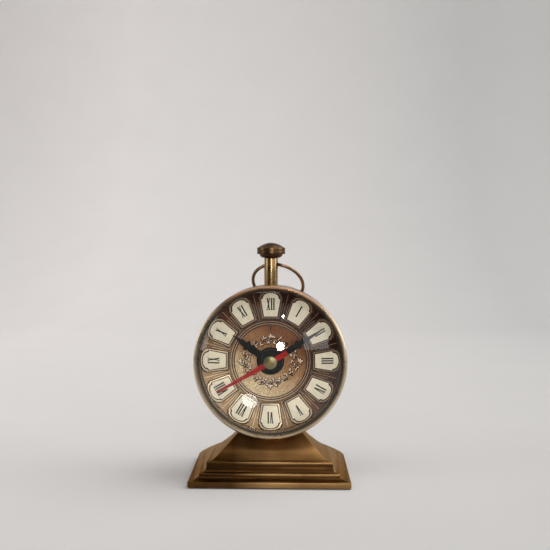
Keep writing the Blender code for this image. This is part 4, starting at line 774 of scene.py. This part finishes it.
def without(mesh, *tools):
    """A mesh with other meshes cut out of it."""
    body = in_scene("body", mesh)
    cutters = [in_scene("cutter", tool) for tool in tools]
    for cutter in cutters:
        change = body.modifiers.new("cut", "BOOLEAN")
        change.operation = "DIFFERENCE"
        change.solver = "EXACT"
        change.object = cutter
    graph = bpy.context.evaluated_depsgraph_get()
    result = bpy.data.meshes.new_from_object(body.evaluated_get(graph))
    for obj in (body, *cutters):
        data = obj.data
        bpy.data.objects.remove(obj)
        bpy.data.meshes.remove(data)
    return result


def add(name, mesh, material, body="clock", space=CLOCK, replaced=(), angle=32):
    """Put a mesh into the scene as a piece that rides on a body."""
    mesh.transform(space)
    mesh.name = name
    mesh.materials.clear()
    mesh.materials.append(material)
    mesh.shade_smooth()
    mesh.set_sharp_from_angle(angle=math.radians(angle))
    piece = in_scene(name, mesh)
    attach(piece, body)
    if replaced:
        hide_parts(*replaced)


# Base

def step_edge(foot, run):
    inset, height = foot
    top = height + STEP_UPRIGHT
    corner = arc((inset + STEP_ROUND, top), (STEP_ROUND, STEP_ROUND), 180, 90, 5)
    return corner + [(inset + STEP_ROUND + run, top + STEP_ROUND + LEDGE_RISE)]


def cove(foot, run, rise):
    return arc((foot[0], foot[1] + rise), (run, rise), -90, 0)[1:]


def base_outline():
    """Inset from the slab's edge and height, up to the foot of the pyramid."""
    bottom = BASE_LOW.z
    points = [(SLAB_ARRIS, bottom), (SLAB_ARRIS / 4, bottom + SLAB_ARRIS / 4), (0, bottom + SLAB_ARRIS)]
    points += arc((SLAB_ARRIS, SLAB_HEIGHT - SLAB_ARRIS), (SLAB_ARRIS, SLAB_ARRIS), 180, 90, 4)
    points += cove(points[-1], *LOWER_COVE)
    points += step_edge(points[-1], LOWER_LEDGE_RUN)
    points += cove(points[-1], *UPPER_COVE)
    points += step_edge(points[-1], UPPER_LEDGE_RUN)
    return points


def at_plate_screws(radius, high):
    """An upright rod at the place of each screw of the base plate."""
    return [moved(rod(radius, 0, high), side * PLATE_SCREW_SPACING / 2, 0, 0) for side in (-1, 1)]


def make_base():
    """The casting: stepped mouldings in front that die out along its plain, hollowed sides."""
    half_x, half_y = BASE_HIGH.x, BASE_HIGH.y
    saddle = CENTRE - CASE_RADIUS
    outline = base_outline()
    foot_inset, foot = outline[-1]
    flare_inset, flare_top = foot_inset + FLARE[0], foot + FLARE[1]
    slope = (saddle + NECK_FOOT_RISE - flare_top) / (NECK_INSET - flare_inset)
    bend = (slope * FLARE[0] - FLARE[1]) / FLARE[0] ** 2

    def on_pyramid(inset):
        left = flare_inset - inset
        return inset, flare_top - slope * left + bend * max(0, left) ** 2

    plain_inset, plain_top = on_pyramid(foot_inset + PLAIN_TOP_RUN)

    def level(inset, height):
        rear = inset
        share = (height - SLAB_HEIGHT) / (plain_top - SLAB_HEIGHT)
        if 0 < share < 1:
            rear = SLAB_ARRIS + (plain_inset - SLAB_ARRIS) * share ** PLAIN_POWER
        return (half_x - rear, max(NECK_BACK, half_y - rear)), (half_x - inset, half_y - inset), height

    def even(inset, height):
        half = (half_x - inset, half_y - inset)
        return half, half, height

    outline += [on_pyramid(foot_inset + FLARE[0] * i / ARC_STEPS) for i in range(1, ARC_STEPS + 1)]
    outline += [on_pyramid(flare_inset + (NECK_INSET - flare_inset) * i / 4) for i in range(1, 5)]
    outline.append((NECK_INSET, saddle + SADDLE_RISE))
    casting = loft([level(*point) for point in outline], HIP_RADIUS)

    ceiling = saddle - CEILING_DEPTH
    mouth = LOWER_COVE[0] + SLAB_ARRIS + RIM_WALL / 2
    brow = foot_inset + RIM_WALL
    roof = flare_inset + (ceiling - flare_top) / slope + RIM_WALL
    hollow = loft([
        even(mouth, RECESS_TOP - GAP), even(brow, foot - RIM_WALL), even(roof, ceiling),
    ], HIP_RADIUS)
    hollow = without(hollow, *at_plate_screws(PLATE_BOSS_RADIUS, saddle))
    recess = loft([even(RIM_WALL, BASE_LOW.z - OVERRUN), even(RIM_WALL, RECESS_TOP)], HIP_RADIUS)
    holes = at_plate_screws(PLATE_SCREW_RADIUS + GAP, PLATE_SCREW_TOP + GAP)
    bolt = moved(rod(BASE_SCREW_RADIUS + GAP, ceiling - GAP, CENTRE), 0, BASE_SCREW_BACK, 0)
    reach = 2 * half_y
    seat = at(turned([
        (0, reach), (BEZEL_RADIUS + GAP, reach), (BEZEL_RADIUS + GAP, CASE_SHOULDER),
        (CASE_RADIUS + GAP, CASE_SHOULDER), (CASE_RADIUS + GAP, -reach), (0, -reach),
    ]), DRUM)
    casting = without(casting, hollow, recess, *holes, bolt, seat)
    add("base_shell", casting, BASE_BRASS, space=TABLE, replaced=["base_casting"],
        angle=28)


def make_felt_pad():
    """The felt under the base, cut by hand, so that its edge wanders a little."""
    low, high = size_of("base_felt")
    draw = random.Random(7)
    corners = rounded(high, high, FELT_CORNER, 6)
    edge = []
    for here, after in zip(corners, corners[1:] + corners[:1]):
        steps = max(1, int(math.dist(here, after) / FELT_STEP))
        for i in range(steps):
            pull = 1 - draw.uniform(0, FELT_WOBBLE) / high.y
            edge.append([(a + (b - a) * i / steps) * pull for a, b in zip(here, after)])
    holes = [circle(FELT_HOLE, (side * PLATE_SCREW_SPACING / 2, 0), 48) for side in (-1, 1)]
    pad = plate([edge, *holes], low.z, high.z, FELT_EDGE)
    add("felt_pad", pad, FELT, space=TABLE, replaced=["base_felt"], angle=50)


# Drum, bezel and lens

def make_drum():
    outline = softened([
        (NECK_BORE, NECK_FRONT, 0.15), (NECK_RADIUS, NECK_FRONT, 0.2), (NECK_RADIUS, CASE_SHOULDER),
        (CASE_RADIUS, CASE_SHOULDER, 0.2),
        *arc((CASE_RADIUS - CASE_CORNER, CASE_REAR + CASE_CORNER), (CASE_CORNER, CASE_CORNER), 0, -90),
        (ACCESS_RADIUS, CASE_REAR, 0.15), (ACCESS_RADIUS, CASE_REAR + CASE_BACK_WALL),
        (CASE_BORE, CASE_REAR + CASE_BACK_WALL), (CASE_BORE, DIAL_LEDGE[1]),
        (DIAL_LEDGE[0], DIAL_LEDGE[1]), (DIAL_LEDGE[0], DIAL_SEAT), (NECK_BORE, DIAL_SEAT),
    ])
    bottom = rod(BASE_SCREW_RADIUS + GAP, -OVERRUN, CASE_RADIUS)
    below = moved(bottom, 0, BASE_SCREW_BACK, CENTRE - CASE_RADIUS)
    above = moved(rod(SPIGOT_RADIUS + GAP, CENTRE, BEZEL_HIGH.z + OVERRUN), 0, STEM_BACK, 0)
    drum = without(at(turned(outline), DRUM), below, above)
    add("drum_shell", drum, CASE_BRASS, space=TABLE, replaced=["case_drum"], angle=28)


def make_bezel():
    """A turned ring: flat front, a fine bead beside the glass and one line round its side."""
    line, half, depth = BEZEL_LINE
    outline = softened([
        (BEZEL_BORE, LIP_BACK), (BEZEL_LIP, LIP_BACK),
        *((BEZEL_LIP + away, BEZEL_FRONT - back, rounding) for away, back, rounding in BEZEL_BEAD),
        *((BEZEL_RADIUS - away, BEZEL_FRONT - back, rounding) for away, back, rounding in BEZEL_SHOULDER),
        (BEZEL_RADIUS, line + half, 0.05), (BEZEL_RADIUS - depth, line, 0.05),
        (BEZEL_RADIUS, line - half, 0.05), (BEZEL_RADIUS, BEZEL_REAR, 0.15), (BEZEL_BORE, BEZEL_REAR, 0.1),
    ])
    add("bezel_ring", turned(outline), BEZEL_BRASS, replaced=["bezel"])


def make_lens():
    sphere = (DOME_RADIUS ** 2 + LENS_RISE ** 2) / (2 * LENS_RISE)
    half = math.degrees(math.asin(DOME_RADIUS / sphere))
    dome = arc((0, LENS_SHOULDER + LENS_RISE - sphere), (sphere, sphere), 90, 90 - half, 64)
    dome[0] = (0, LENS_SHOULDER + LENS_RISE)
    outline = dome + softened([
        (LENS_RADIUS, LENS_SHOULDER, 0.15), (LENS_RADIUS, LENS_BACK, 0.15), (0, LENS_BACK),
    ])
    add("lens_dome", turned(outline), GLASS, replaced=["lens"], angle=20)
    ring = softened([(*corner, 0.2) for corner in rectangle(*GASKET)])
    add("gasket_ring", turned(ring), RUBBER, replaced=["lens_gasket"])


def make_dial_ring():
    """The ring under the gasket, with fine flutes down its inner side."""
    inner, outer, low, high = DIAL_RING
    steps = 4 * FLUTES
    fluted = [polar(inner + FLUTE_DEPTH * (i % 4 in (1, 2)), 2 * math.pi * i / steps) for i in range(steps)]
    ring = plate([circle(outer, steps=FINE_TURN), fluted], low, high)
    add("dial_retainer", ring, TRACK_BRONZE, replaced=["dial_ring"], angle=25)


def make_back_cover():
    """The push-in cover, turned with fine rings and a shallow dish."""
    rear, front, flange = depth_of("back_cover")
    plug = ACCESS_RADIUS - GAP
    inner = plug - COVER_WALL
    seat = CASE_REAR - GAP
    dish = rear + COVER_DISH
    face = [(0, dish)]
    for line, half, depth in COVER_LINES:
        face += [(line - half, dish), (line, rear + depth), (line + half, dish)]
    outline = face + [(COVER_RIM[0], dish), (COVER_RIM[1], rear)] + softened([
        (flange, rear, 0.4), (flange, seat, 0.15), (plug, seat), (plug, front, 0.2), (inner, front, 0.2),
        (inner, seat), (0, seat),
    ])
    add("cover_disc", turned(outline), CASE_BRASS, "back_cover_body", replaced=["back_cover"],
        angle=28)


# Dial

def cartouche(grow):
    """The outline of an hour's cartouche, drawn upright, and grown on every side."""
    ear = CARTOUCHE_EAR - 0.4 * grow
    spring = CARTOUCHE_SPRING + 0.6 * grow
    half = CARTOUCHE_SIDE_HALF + grow
    ear_half = half + 0.05
    foot = (CARTOUCHE_FOOT_HALF + grow, CARTOUCHE_FOOT - grow)
    side = [foot, (half, spring - ear - 0.25), (ear_half, spring - ear)]
    hollow = arc((ear_half, spring), (ear, ear), 262, 180, 6)
    crown = arc((0, spring), (ear_half - ear, CARTOUCHE_CROWN + grow - spring), 3, 90, 12)
    right = side + hollow + crown
    return right + [(-x, y) for x, y in reversed(right[:-1])]


def at_hour(mesh, hour):
    return at(mesh, about_z(-2 * math.pi * hour / HOURS))


def letter(kind, x):
    """Serifed strokes of one Roman letter that starts at x, and the width it takes."""
    top, thick, thin, serif = NUMERAL_HEIGHT, THICK_STROKE, THIN_STROKE, SERIF
    if kind == "I":
        left = x + (NARROW_LETTER - thick) / 2 - 0.05
        bars = [rectangle(x, y, x + NARROW_LETTER - 0.1, y + serif) for y in (0, top - serif)]
        return [*bars, rectangle(left, 0, left + thick, top)], NARROW_LETTER
    left, end = x + 0.25, WIDE_LETTER - 0.12
    if kind == "V":
        foot, right = x + WIDE_LETTER / 2, x + WIDE_LETTER - 0.3
        strokes = [
            [(foot - thick / 2, 0), (foot + thick / 4, 0), (left + thick, top), (left, top)],
            [(foot - thin / 2, 0), (foot + thin, 0), (right, top), (right - thin, top)],
        ]
        serifs = [rectangle(x + a, top - serif, x + b, top) for a, b in ((0, 0.95), (1.4, end))]
    else:
        right = x + WIDE_LETTER - 0.25
        strokes = [
            [(right - thick, 0), (right, 0), (left + thick, top), (left, top)],
            [(left, 0), (left + thin, 0), (right, top), (right - thin, top)],
        ]
        ends = ((0, 0.8), (1.2, end))
        serifs = [rectangle(x + a, y, x + b, y + serif) for y in (0, top - serif) for a, b in ends]
    return strokes + serifs, WIDE_LETTER


def numeral(text):
    polygons, x = [], 0.0
    for kind in text:
        shapes, width = letter(kind, x)
        polygons += shapes
        x += width
    return [[(px - x / 2, py + NUMERAL_FOOT) for px, py in polygon] for polygon in polygons]


def make_dial():
    face, disc, sunk = DIAL_FACE, DIAL_FACE + DISC_RISE, DIAL_FACE - DIAL_SINK
    add("dial_base", turned([
        (DIAL_BORE, DIAL_BACK), (DIAL_BORE, face), (DISC_RADIUS + 0.9, face), (DISC_RADIUS + 1.0, sunk),
        (TRACK[0] - 0.15, sunk), (TRACK[0] - 0.05, face), (DIAL_RADIUS, face), (DIAL_RADIUS, DIAL_BACK),
    ]), BAND, replaced=["dial_plate"])
    add("dial_centre", turned([
        (DIAL_BORE, face - 0.1), (DIAL_BORE, disc), (DISC_RADIUS - 0.7, disc), (DISC_RADIUS - 0.6, face),
        (DISC_RADIUS - 0.6, face - 0.1),
    ]), FIELD)
    add("dial_hub_ring", turned([(radius, face + rise) for radius, rise in HUB_RING]), LACQUER)

    root = face - RELIEF_ROOT
    for name, radius, half, rise, material in (
        ("border_dark_inner", DISC_RADIUS - 0.35, 0.22, 0.08, SEPIA),
        ("border_bead", DISC_RADIUS + 0.1, 0.24, 0.16, FRAME),
        ("border_dark_outer", DISC_RADIUS + 0.55, 0.22, 0.08, SEPIA),
        ("border_line", DISC_RADIUS + 1.1, 0.2, 0.12, FRAME),
        ("track_line", TRACK[0], 0.2, 0.08, SEPIA),
    ):
        bead = arc((radius, face), (half, rise), 0, 180, 6)
        add(name, turned([*bead, (radius - half, root), (radius + half, root)]), material)

    for name, grow, low, high, edge, material in (
        ("frame_edge", 1.3, -0.02, 0.08, 0.03, SEPIA),
        ("frame_gold", 0.86, 0.04, 0.15, 0.04, FRAME),
        ("field_edge", 0.36, 0.10, 0.20, 0.03, SEPIA),
        ("field_cream", -0.04, 0.14, 0.28, 0.05, ENAMEL),
    ):
        outline = cartouche(grow)
        shapes = [at_hour(plate([outline], face + low, face + high, edge), hour) for hour in range(HOURS)]
        add(f"cartouche_{name}", joined(shapes), material, angle=40)

    for hour, text in enumerate(NUMERALS):
        shape = at_hour(stamped(numeral(text), face + 0.24, face + 0.31), hour)
        add(f"numeral_{hour or 12}", shape, INK, angle=20)

    ribs = []
    foot, head = RIB_HALF
    for hour in range(HOURS):
        for shift, low, high in BAND_RIBS:
            bar = softened([(-foot, low, 0.1), (foot, low, 0.1), (head, high, 0.1), (-head, high, 0.1)], 2)
            bend = about_z(-math.radians(360 / HOURS * (hour + 0.5) + shift))
            ribs.append(at(plate([bar], face - 0.08, face + 0.05, 0.03, 1), bend))
    add("band_ribs", joined(ribs), FRAME, angle=40)

    ring = rectangle(TRACK[0] + 0.2, root, TRACK[1], face + 0.03)
    add("track_ring", turned(ring), TRACK_BRONZE)
    low, high = TRACK[0] + 0.35, TRACK[1] - 0.15
    ticks = []
    for minute in range(60):
        half = TICK_HALF if minute % 5 else HOUR_TICK_HALF
        bar = plate([rectangle(-half, low, half, high)], face + 0.01, face + 0.07)
        ticks.append(at_hour(bar, minute / 5))
    add("track_ticks", joined(ticks), SEPIA, angle=30)


def leaf(length, width, grow=0.0):
    """A small pointed leaf that grows along x from the origin."""
    full, half = length + 2 * grow, width / 2 + grow
    shares = [i / LEAF_STEPS for i in range(LEAF_STEPS + 1)]
    upper = [(full * share - grow, half * math.sin(math.pi * share ** 0.8)) for share in shares]
    return upper + [(x, -y) for x, y in reversed(upper[1:-1])]


def on_wreath(radius, angle):
    """A place on the wreath, which is a little wider than it is high."""
    ray = Vector(polar(1, angle))
    return ray * radius * (1 + WREATH_STRETCH * ray.x ** 2)


def make_scrolls():
    """A plain wreath of three rows of small leaves with curls, and longer leaves at its quarters."""
    ground = DIAL_FACE + DISC_RISE
    bright, dark = [], []

    def grow_leaf(place, turn, length, width):
        spot = Matrix.Translation((*place, 0)) @ about_z(turn)
        bright.append(at(plate([leaf(length, width)], ground - 0.02, ground + 0.22, 0.1), spot))
        # A dark copy under each leaf, grown all round as a printed outline and shifted down to the right as a
        # painted shadow
        shade = plate([leaf(length, width, LEAF_SHADE)], ground - 0.03, ground + 0.06, 0.02, 1)
        dark.append(at(shade, Matrix.Translation((0.1, -0.12, 0)) @ spot))

    def grow_curl(centre, start, turn, radius):
        shares = [i / CURL_STEPS for i in range(CURL_STEPS + 1)]
        spiral = [polar(radius * (1 - 0.35 * share), start + turn * share) for share in shares]
        path = [Vector((centre[0] + x, centre[1] + y, ground)) for x, y in spiral]
        # A thicker dark copy of each curl, shifted down to the right: a printed outline and a painted shadow
        for parts, shift, thin, gain in (
            (bright, (0, 0, 0.06), 0.11, 0.09), (dark, (0.06, -0.08, -0.08), 0.34, 0.12),
        ):
            radii = [thin + gain * share for share in shares]
            parts.append(tube([p + Vector(shift) for p in path], radii, 8))

    for k in range(WREATH_LEAVES):
        for row, (radius, length, width) in enumerate(WREATH_ROWS):
            out = 2 * math.pi * (k + 0.33 * row + 0.2) / WREATH_LEAVES
            if row == 2 and abs(math.sin(2 * out)) > 0.8:
                continue
            side = 1 if (k + row) % 2 else -1
            lean = out + side * (0.5 + 0.35 * ((k * 5 + row * 3) % 4))
            grow_leaf(on_wreath(radius, out), lean, length + 0.2 * ((k + row) % 3), width)
    for k in range(WREATH_CURLS):
        out = 2 * math.pi * (k + 0.5) / WREATH_CURLS
        hand = 1 if k % 2 else -1
        grow_curl(on_wreath(CURL_PLACE, out), out + hand * 0.6, hand * CURL_TURN, CURL_RADIUS)
    for k, tip in enumerate(QUARTER_TIPS):
        out = math.pi / 2 * k
        for back, turn, length, width in QUARTER_LEAVES:
            grow_leaf(Vector(polar(1, out)) * (tip - back), out + turn, length, width)
    shares = [i / 8 for i in range(9)]
    stalk = [(0, STALK_FOOT + STALK_LENGTH * share, ground) for share in shares]
    dark.append(tube(stalk, [0.12 + 0.2 * math.sin(math.pi * share) for share in shares], 8))
    bar = [(x, STALK_BAR - abs(x) * 0.05, ground) for x in (-0.9, -0.45, 0, 0.45, 0.9)]
    dark.append(tube(bar, [0.06, 0.18, 0.12, 0.18, 0.06], 8))
    add("wreath_outline_and_shadow", joined(dark), SEPIA, angle=60)
    add("wreath", joined(bright), SCROLL, angle=60)


# Hands

def hand_outline(boss, side):
    """A hand that points up: its round boss, and one side from the boss to the tip."""
    root = math.degrees(math.acos(side[0][0] / boss))
    around = arc((0, 0), (boss, boss), 180 - root, 360 + root, 64)
    mirror = [(-x, y, rounding) for x, y, rounding in reversed(side[1:])]
    return softened([*around, *side[1:], *mirror])


def second_hand_outline(boss):
    """A plain bar with a square tail, and a round boss between them."""
    half, tip = SECOND_HAND_HALF, SECOND_HAND_TIP_HALF
    end, tail = SECOND_HAND_LENGTH, -SECOND_HAND_TAIL
    join = math.degrees(math.acos(half / boss))
    return [
        *arc((0, 0), (boss, boss), -join, join),
        *softened([(tip + 0.03, end - 1, 0), (tip, end, 0.1), (-tip, end, 0.1), (-tip - 0.03, end - 1, 0)]),
        *arc((0, 0), (boss, boss), 180 - join, 180 + join),
        *softened([(-half, tail + 1, 0), (-half, tail, 0.12), (half, tail, 0.12), (half, tail + 1, 0)]),
    ]


def make_hands():
    for node, turn, outline, bore, edge, colour, material in (
        ("hour_hand", HOUR_HAND_TURN, hand_outline(HOUR_HAND[0], HOUR_HAND_SIDE), HOUR_HAND[1], HAND_EDGE,
         "black", LACQUER),
        ("minute_hand", MINUTE_HAND_TURN, hand_outline(MINUTE_HAND[0], MINUTE_HAND_SIDE), MINUTE_HAND[1],
         HAND_EDGE, "black", LACQUER),
        ("second_hand", SECOND_HAND_TURN, second_hand_outline(SECOND_HAND[0]), SECOND_HAND[1],
         SECOND_HAND_EDGE, "red", RED_PAINT),
    ):
        back, front, _ = depth_of(node)
        hand = plate([outline, circle(bore)], back, front, edge)
        add(f"{node}_{colour}", hand, material, f"{node}_body", CLOCK @ about_z(-turn), [node],
            50)

    back, front, radius = depth_of("hand_cap")
    outline = [(x, front + rise) for x, rise in CAP_FACE]
    outline += arc((0, back + CAP_WALL), (radius, front - back - CAP_WALL), 56, 0, 16)
    outline += [(radius - 0.05, back), (0, back)]
    add("cap_dome", turned(outline, SMALL_TURN), CAP_BRASS, "second_hand_body", replaced=["hand_cap"],
        angle=40)
    low, high = front - 0.25, front - 0.04
    pin = softened([(0, low), (CAP_PIN, low), (CAP_PIN, high, 0.08), (0, high)])
    add("cap_pin", turned(pin, 48), STEM_BRASS, "second_hand_body", angle=40)

    bore = MOUNTING_BORE
    for part, material, slot in (("washer", RUBBER, "black_rubber"), ("nut", LACQUER, "black_plastic")):
        back, front, radius = depth_of(f"mounting_{part}")
        ring = softened([(bore, back), (radius, back, 0.1), (radius, front, 0.15), (bore, front, 0.1)])
        add(f"hub_{part}", turned(ring, SMALL_TURN), material, replaced=[f"mounting_{part}"])


# Knob, stem and ring

def make_knob():
    bottom, top = KNOB_LOW.z, KNOB_HIGH.z
    foot = bottom - GAP + 0.05
    band_bottom = bottom + KNOB_UNDERSIDE
    band_top = band_bottom + KNOB_BAND
    middle = (band_bottom + band_top) / 2
    step = KNOB_RADIUS - KNOB_STEP
    shoulder = KNOB_RADIUS - KNOB_SHOULDER
    bore = SPIGOT_RADIUS + GAP
    dome = []
    for i in range(KNOB_DOME_STEPS + 1):
        share = i / KNOB_DOME_STEPS
        dome.append((shoulder * share, top - (top - band_top) * share ** KNOB_DOME_POWER))
    underside = arc((STEM_RADIUS, band_bottom), (step - STEM_RADIUS, band_bottom - foot), 0, -90, 8)
    outline = dome + softened([
        (KNOB_RADIUS, band_top, 0.25), (KNOB_RADIUS, middle + KNOB_GROOVE / 2, 0.08),
        (KNOB_RADIUS - KNOB_GROOVE / 2, middle, 0.05), (KNOB_RADIUS, middle - KNOB_GROOVE / 2, 0.08),
        (KNOB_RADIUS, band_bottom, 0.25), *underside, (bore, foot, 0.05),
        (bore, bottom + KNOB_BORE_DEPTH), (0, bottom + KNOB_BORE_DEPTH),
    ])
    add("crown_knob", turned(outline, TURN), KNOB_BRASS, space=TABLE @ ON_STEM, replaced=["knob"],
        angle=28)


def make_stem():
    seat = KNOB_LOW.z - GAP
    foot = CENTRE + CASE_RADIUS + STEM_FOOT_GAP
    outline = softened([
        (0, STEM_HIGH.z), (SPIGOT_RADIUS, STEM_HIGH.z, 0.2), (SPIGOT_RADIUS, seat), (STEM_RADIUS, seat, 0.2),
        (STEM_RADIUS, foot, 0.05), (SPIGOT_RADIUS, foot), (SPIGOT_RADIUS, STEM_LOW.z, 0.2), (0, STEM_LOW.z),
    ])
    across = about_z(BOW_TURN) @ Matrix.Rotation(math.radians(90), 4, "Y")
    hole = at(rod(BOW_HOLE_RADIUS, -2 * STEM_RADIUS, 2 * STEM_RADIUS), Matrix.Translation(BOW_HOLE) @ across)
    stem = without(at(turned(outline, TURN), ON_STEM), hole)
    add("stem_tube", stem, STEM_BRASS, space=TABLE, replaced=["stem"], angle=28)


def make_bow():
    along = Vector((math.cos(BOW_TURN), math.sin(BOW_TURN), 0))
    back = Vector((-math.sin(BOW_TURN), math.cos(BOW_TURN), 0))
    away = back * math.sin(BOW_LEAN) - Vector((0, 0, math.cos(BOW_LEAN)))
    centre = BOW_HOLE + along * BOW_SLIP + away * BOW_DROP
    turns = [2 * math.pi * i / TURN for i in range(TURN)]
    points = [centre + (along * math.cos(t) + away * math.sin(t)) * BOW_RADIUS for t in turns]
    ring = tube(points, [BOW_WIRE * 0.995] * TURN, 20, closed=True)
    add("bow_wire", ring, RING_BRASS, "bow_ring_body", TABLE, ["bow_ring"], 60)


# Pieces that keep their CAD shape get finishes

def dress_inner_pieces():
    finishes = {
        "aged_brass": CASE_BRASS, "pale_brass": PALE_BRASS, "dial_bronze": BAND, "copper": COPPER,
        "steel": STEEL, "nickel": NICKEL, "black_rubber": RUBBER, "black_plastic": BLACK_PLASTIC,
        "white_plastic": WHITE_PLASTIC, "board_green": BOARD, "black_paint": LACQUER, "red_paint": RED_PAINT,
        "lens_glass": GLASS, "green_felt": FELT,
    }
    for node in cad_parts.values():
        for place in node.material_slots:
            place.material = finishes[place.material.name]


# Stage, lamps and camera

def make_stage():
    """One pale sheet: floor in front, curving up into the backdrop behind. Its colour carries painted light,
    paler on the left where the lamps are weaker and the clock's shadow falls, and painted shade, darker
    towards the front.
    """
    bend = arc((STAGE_WALL - STAGE_BEND, STAGE_BEND), (STAGE_BEND, STAGE_BEND), -90, 0, 24)
    profile = [(STAGE_FRONT, 0.0), *bend, (STAGE_WALL, STAGE_TOP)]
    count = len(profile)
    mesh = bpy.data.meshes.new("sweep")
    mesh.from_pydata([(x, y, z) for x in (-STAGE_HALF, STAGE_HALF) for y, z in profile], [],
                     [(i, i + count, i + count + 1, i + 1) for i in range(count - 1)])
    mesh.shade_smooth()
    shader = Shader("pale paper")
    fibre = shader.mix(shader.noise(14, 5, 0.6), (0.97,) * 3, (1.03,) * 3)
    # Painted light: the paper is paler on the left, where the lamps are weaker and the clock's shadow falls
    paper = shader.mix(shader.along(0, -300, 350), (0.72, 0.69, 0.68), (0.405, 0.402, 0.396))
    # Painted shade towards the front; the backdrop is brighter
    depth_light_and_shade = shader.bands(shader.along(1, -400, 1200), *FLOOR_TONES)
    colour = shader.times(shader.times(paper, fibre), depth_light_and_shade)
    shader.set(Base_Color=colour, Roughness=0.9, Specular_IOR_Level=0.2)
    shader.set(Normal=shader.bump(shader.noise(900, 3), 0.04, 0.0002))
    mesh.materials.append(shader.data)
    in_scene("sweep", mesh)


def area_lamp(name, place, size, power, colour=WHITE_LIGHT):
    """A lamp that shines at the clock: round when it has one size, else a rectangle."""
    data = bpy.data.lights.new(name, "AREA")
    data.shape = "RECTANGLE" if len(size) > 1 else "DISK"
    data.size, data.size_y = size[0], size[-1]
    data.energy = power
    data.color = colour
    lamp = in_scene(name, data)
    lamp.location = place
    lamp.rotation_euler = (LAMP_TARGET - Vector(place)).to_track_quat("-Z", "Y").to_euler()


def seen_from_dial(right, above, distance):
    """A place in front of the dial, at angles in degrees to the right of it and above it."""
    right, above = math.radians(right), math.radians(above)
    away = Vector((math.sin(right) * math.cos(above), -math.cos(right) * math.cos(above), math.sin(above)))
    return Vector((0, BEZEL_LOW.y, CENTRE)) * MM + away * distance


def make_lights():
    sky = Shader("studio", bpy.data.worlds, "Background")
    fade = sky.span(sky.split(sky.place("Generated"))[1], *SKY_FADE)
    sky.set(Color=SKY_COLOUR, Strength=fade)
    bpy.context.scene.world = sky.data
    area_lamp("right softbox", (1.2, -0.12, 0.55), (0.8, 0.9), 8.0, WARM_LIGHT)
    area_lamp("left softbox", (-1.2, -0.3, 0.5), (0.7, 0.9), 3.8, COOL_LIGHT)
    area_lamp("top softbox", (0.8, 0.2, 1.3), (1.1, 1.2), 15.0)
    area_lamp("top card", (0.0, -0.26, 0.8), (1.1, 0.3), 3.0, WARM_LIGHT)
    area_lamp("round lamp", seen_from_dial(8.6, 9.4, 0.6), (0.085,), 0.75)
    area_lamp("small lamp", seen_from_dial(13.2, 37.0, 0.8), (0.045,), 0.45)
    area_lamp("soft card", seen_from_dial(43.4, 13.0, 0.7), (0.3, 0.2), 0.35)


def make_camera():
    data = bpy.data.cameras.new("camera")
    data.lens = CAMERA_LENS
    data.sensor_fit = "HORIZONTAL"
    data.sensor_width = CAMERA_SENSOR
    data.clip_start = 0.01
    camera = in_scene("camera", data)
    tilt = Matrix.Rotation(math.pi / 2 - CAMERA_PITCH, 4, "X")
    turn = about_z(CAMERA_YAW) @ tilt @ about_z(-CAMERA_ROLL)
    camera.matrix_world = Matrix.Translation(CAMERA_PLACE) @ turn
    bpy.context.scene.camera = camera


bpy.context.scene.view_settings.view_transform = "Standard"
dress_inner_pieces()
make_base()
make_felt_pad()
make_drum()
make_bezel()
make_lens()
make_dial_ring()
make_back_cover()
make_dial()
make_scrolls()
make_hands()
make_knob()
make_stem()
make_bow()
make_stage()
make_lights()
make_camera()
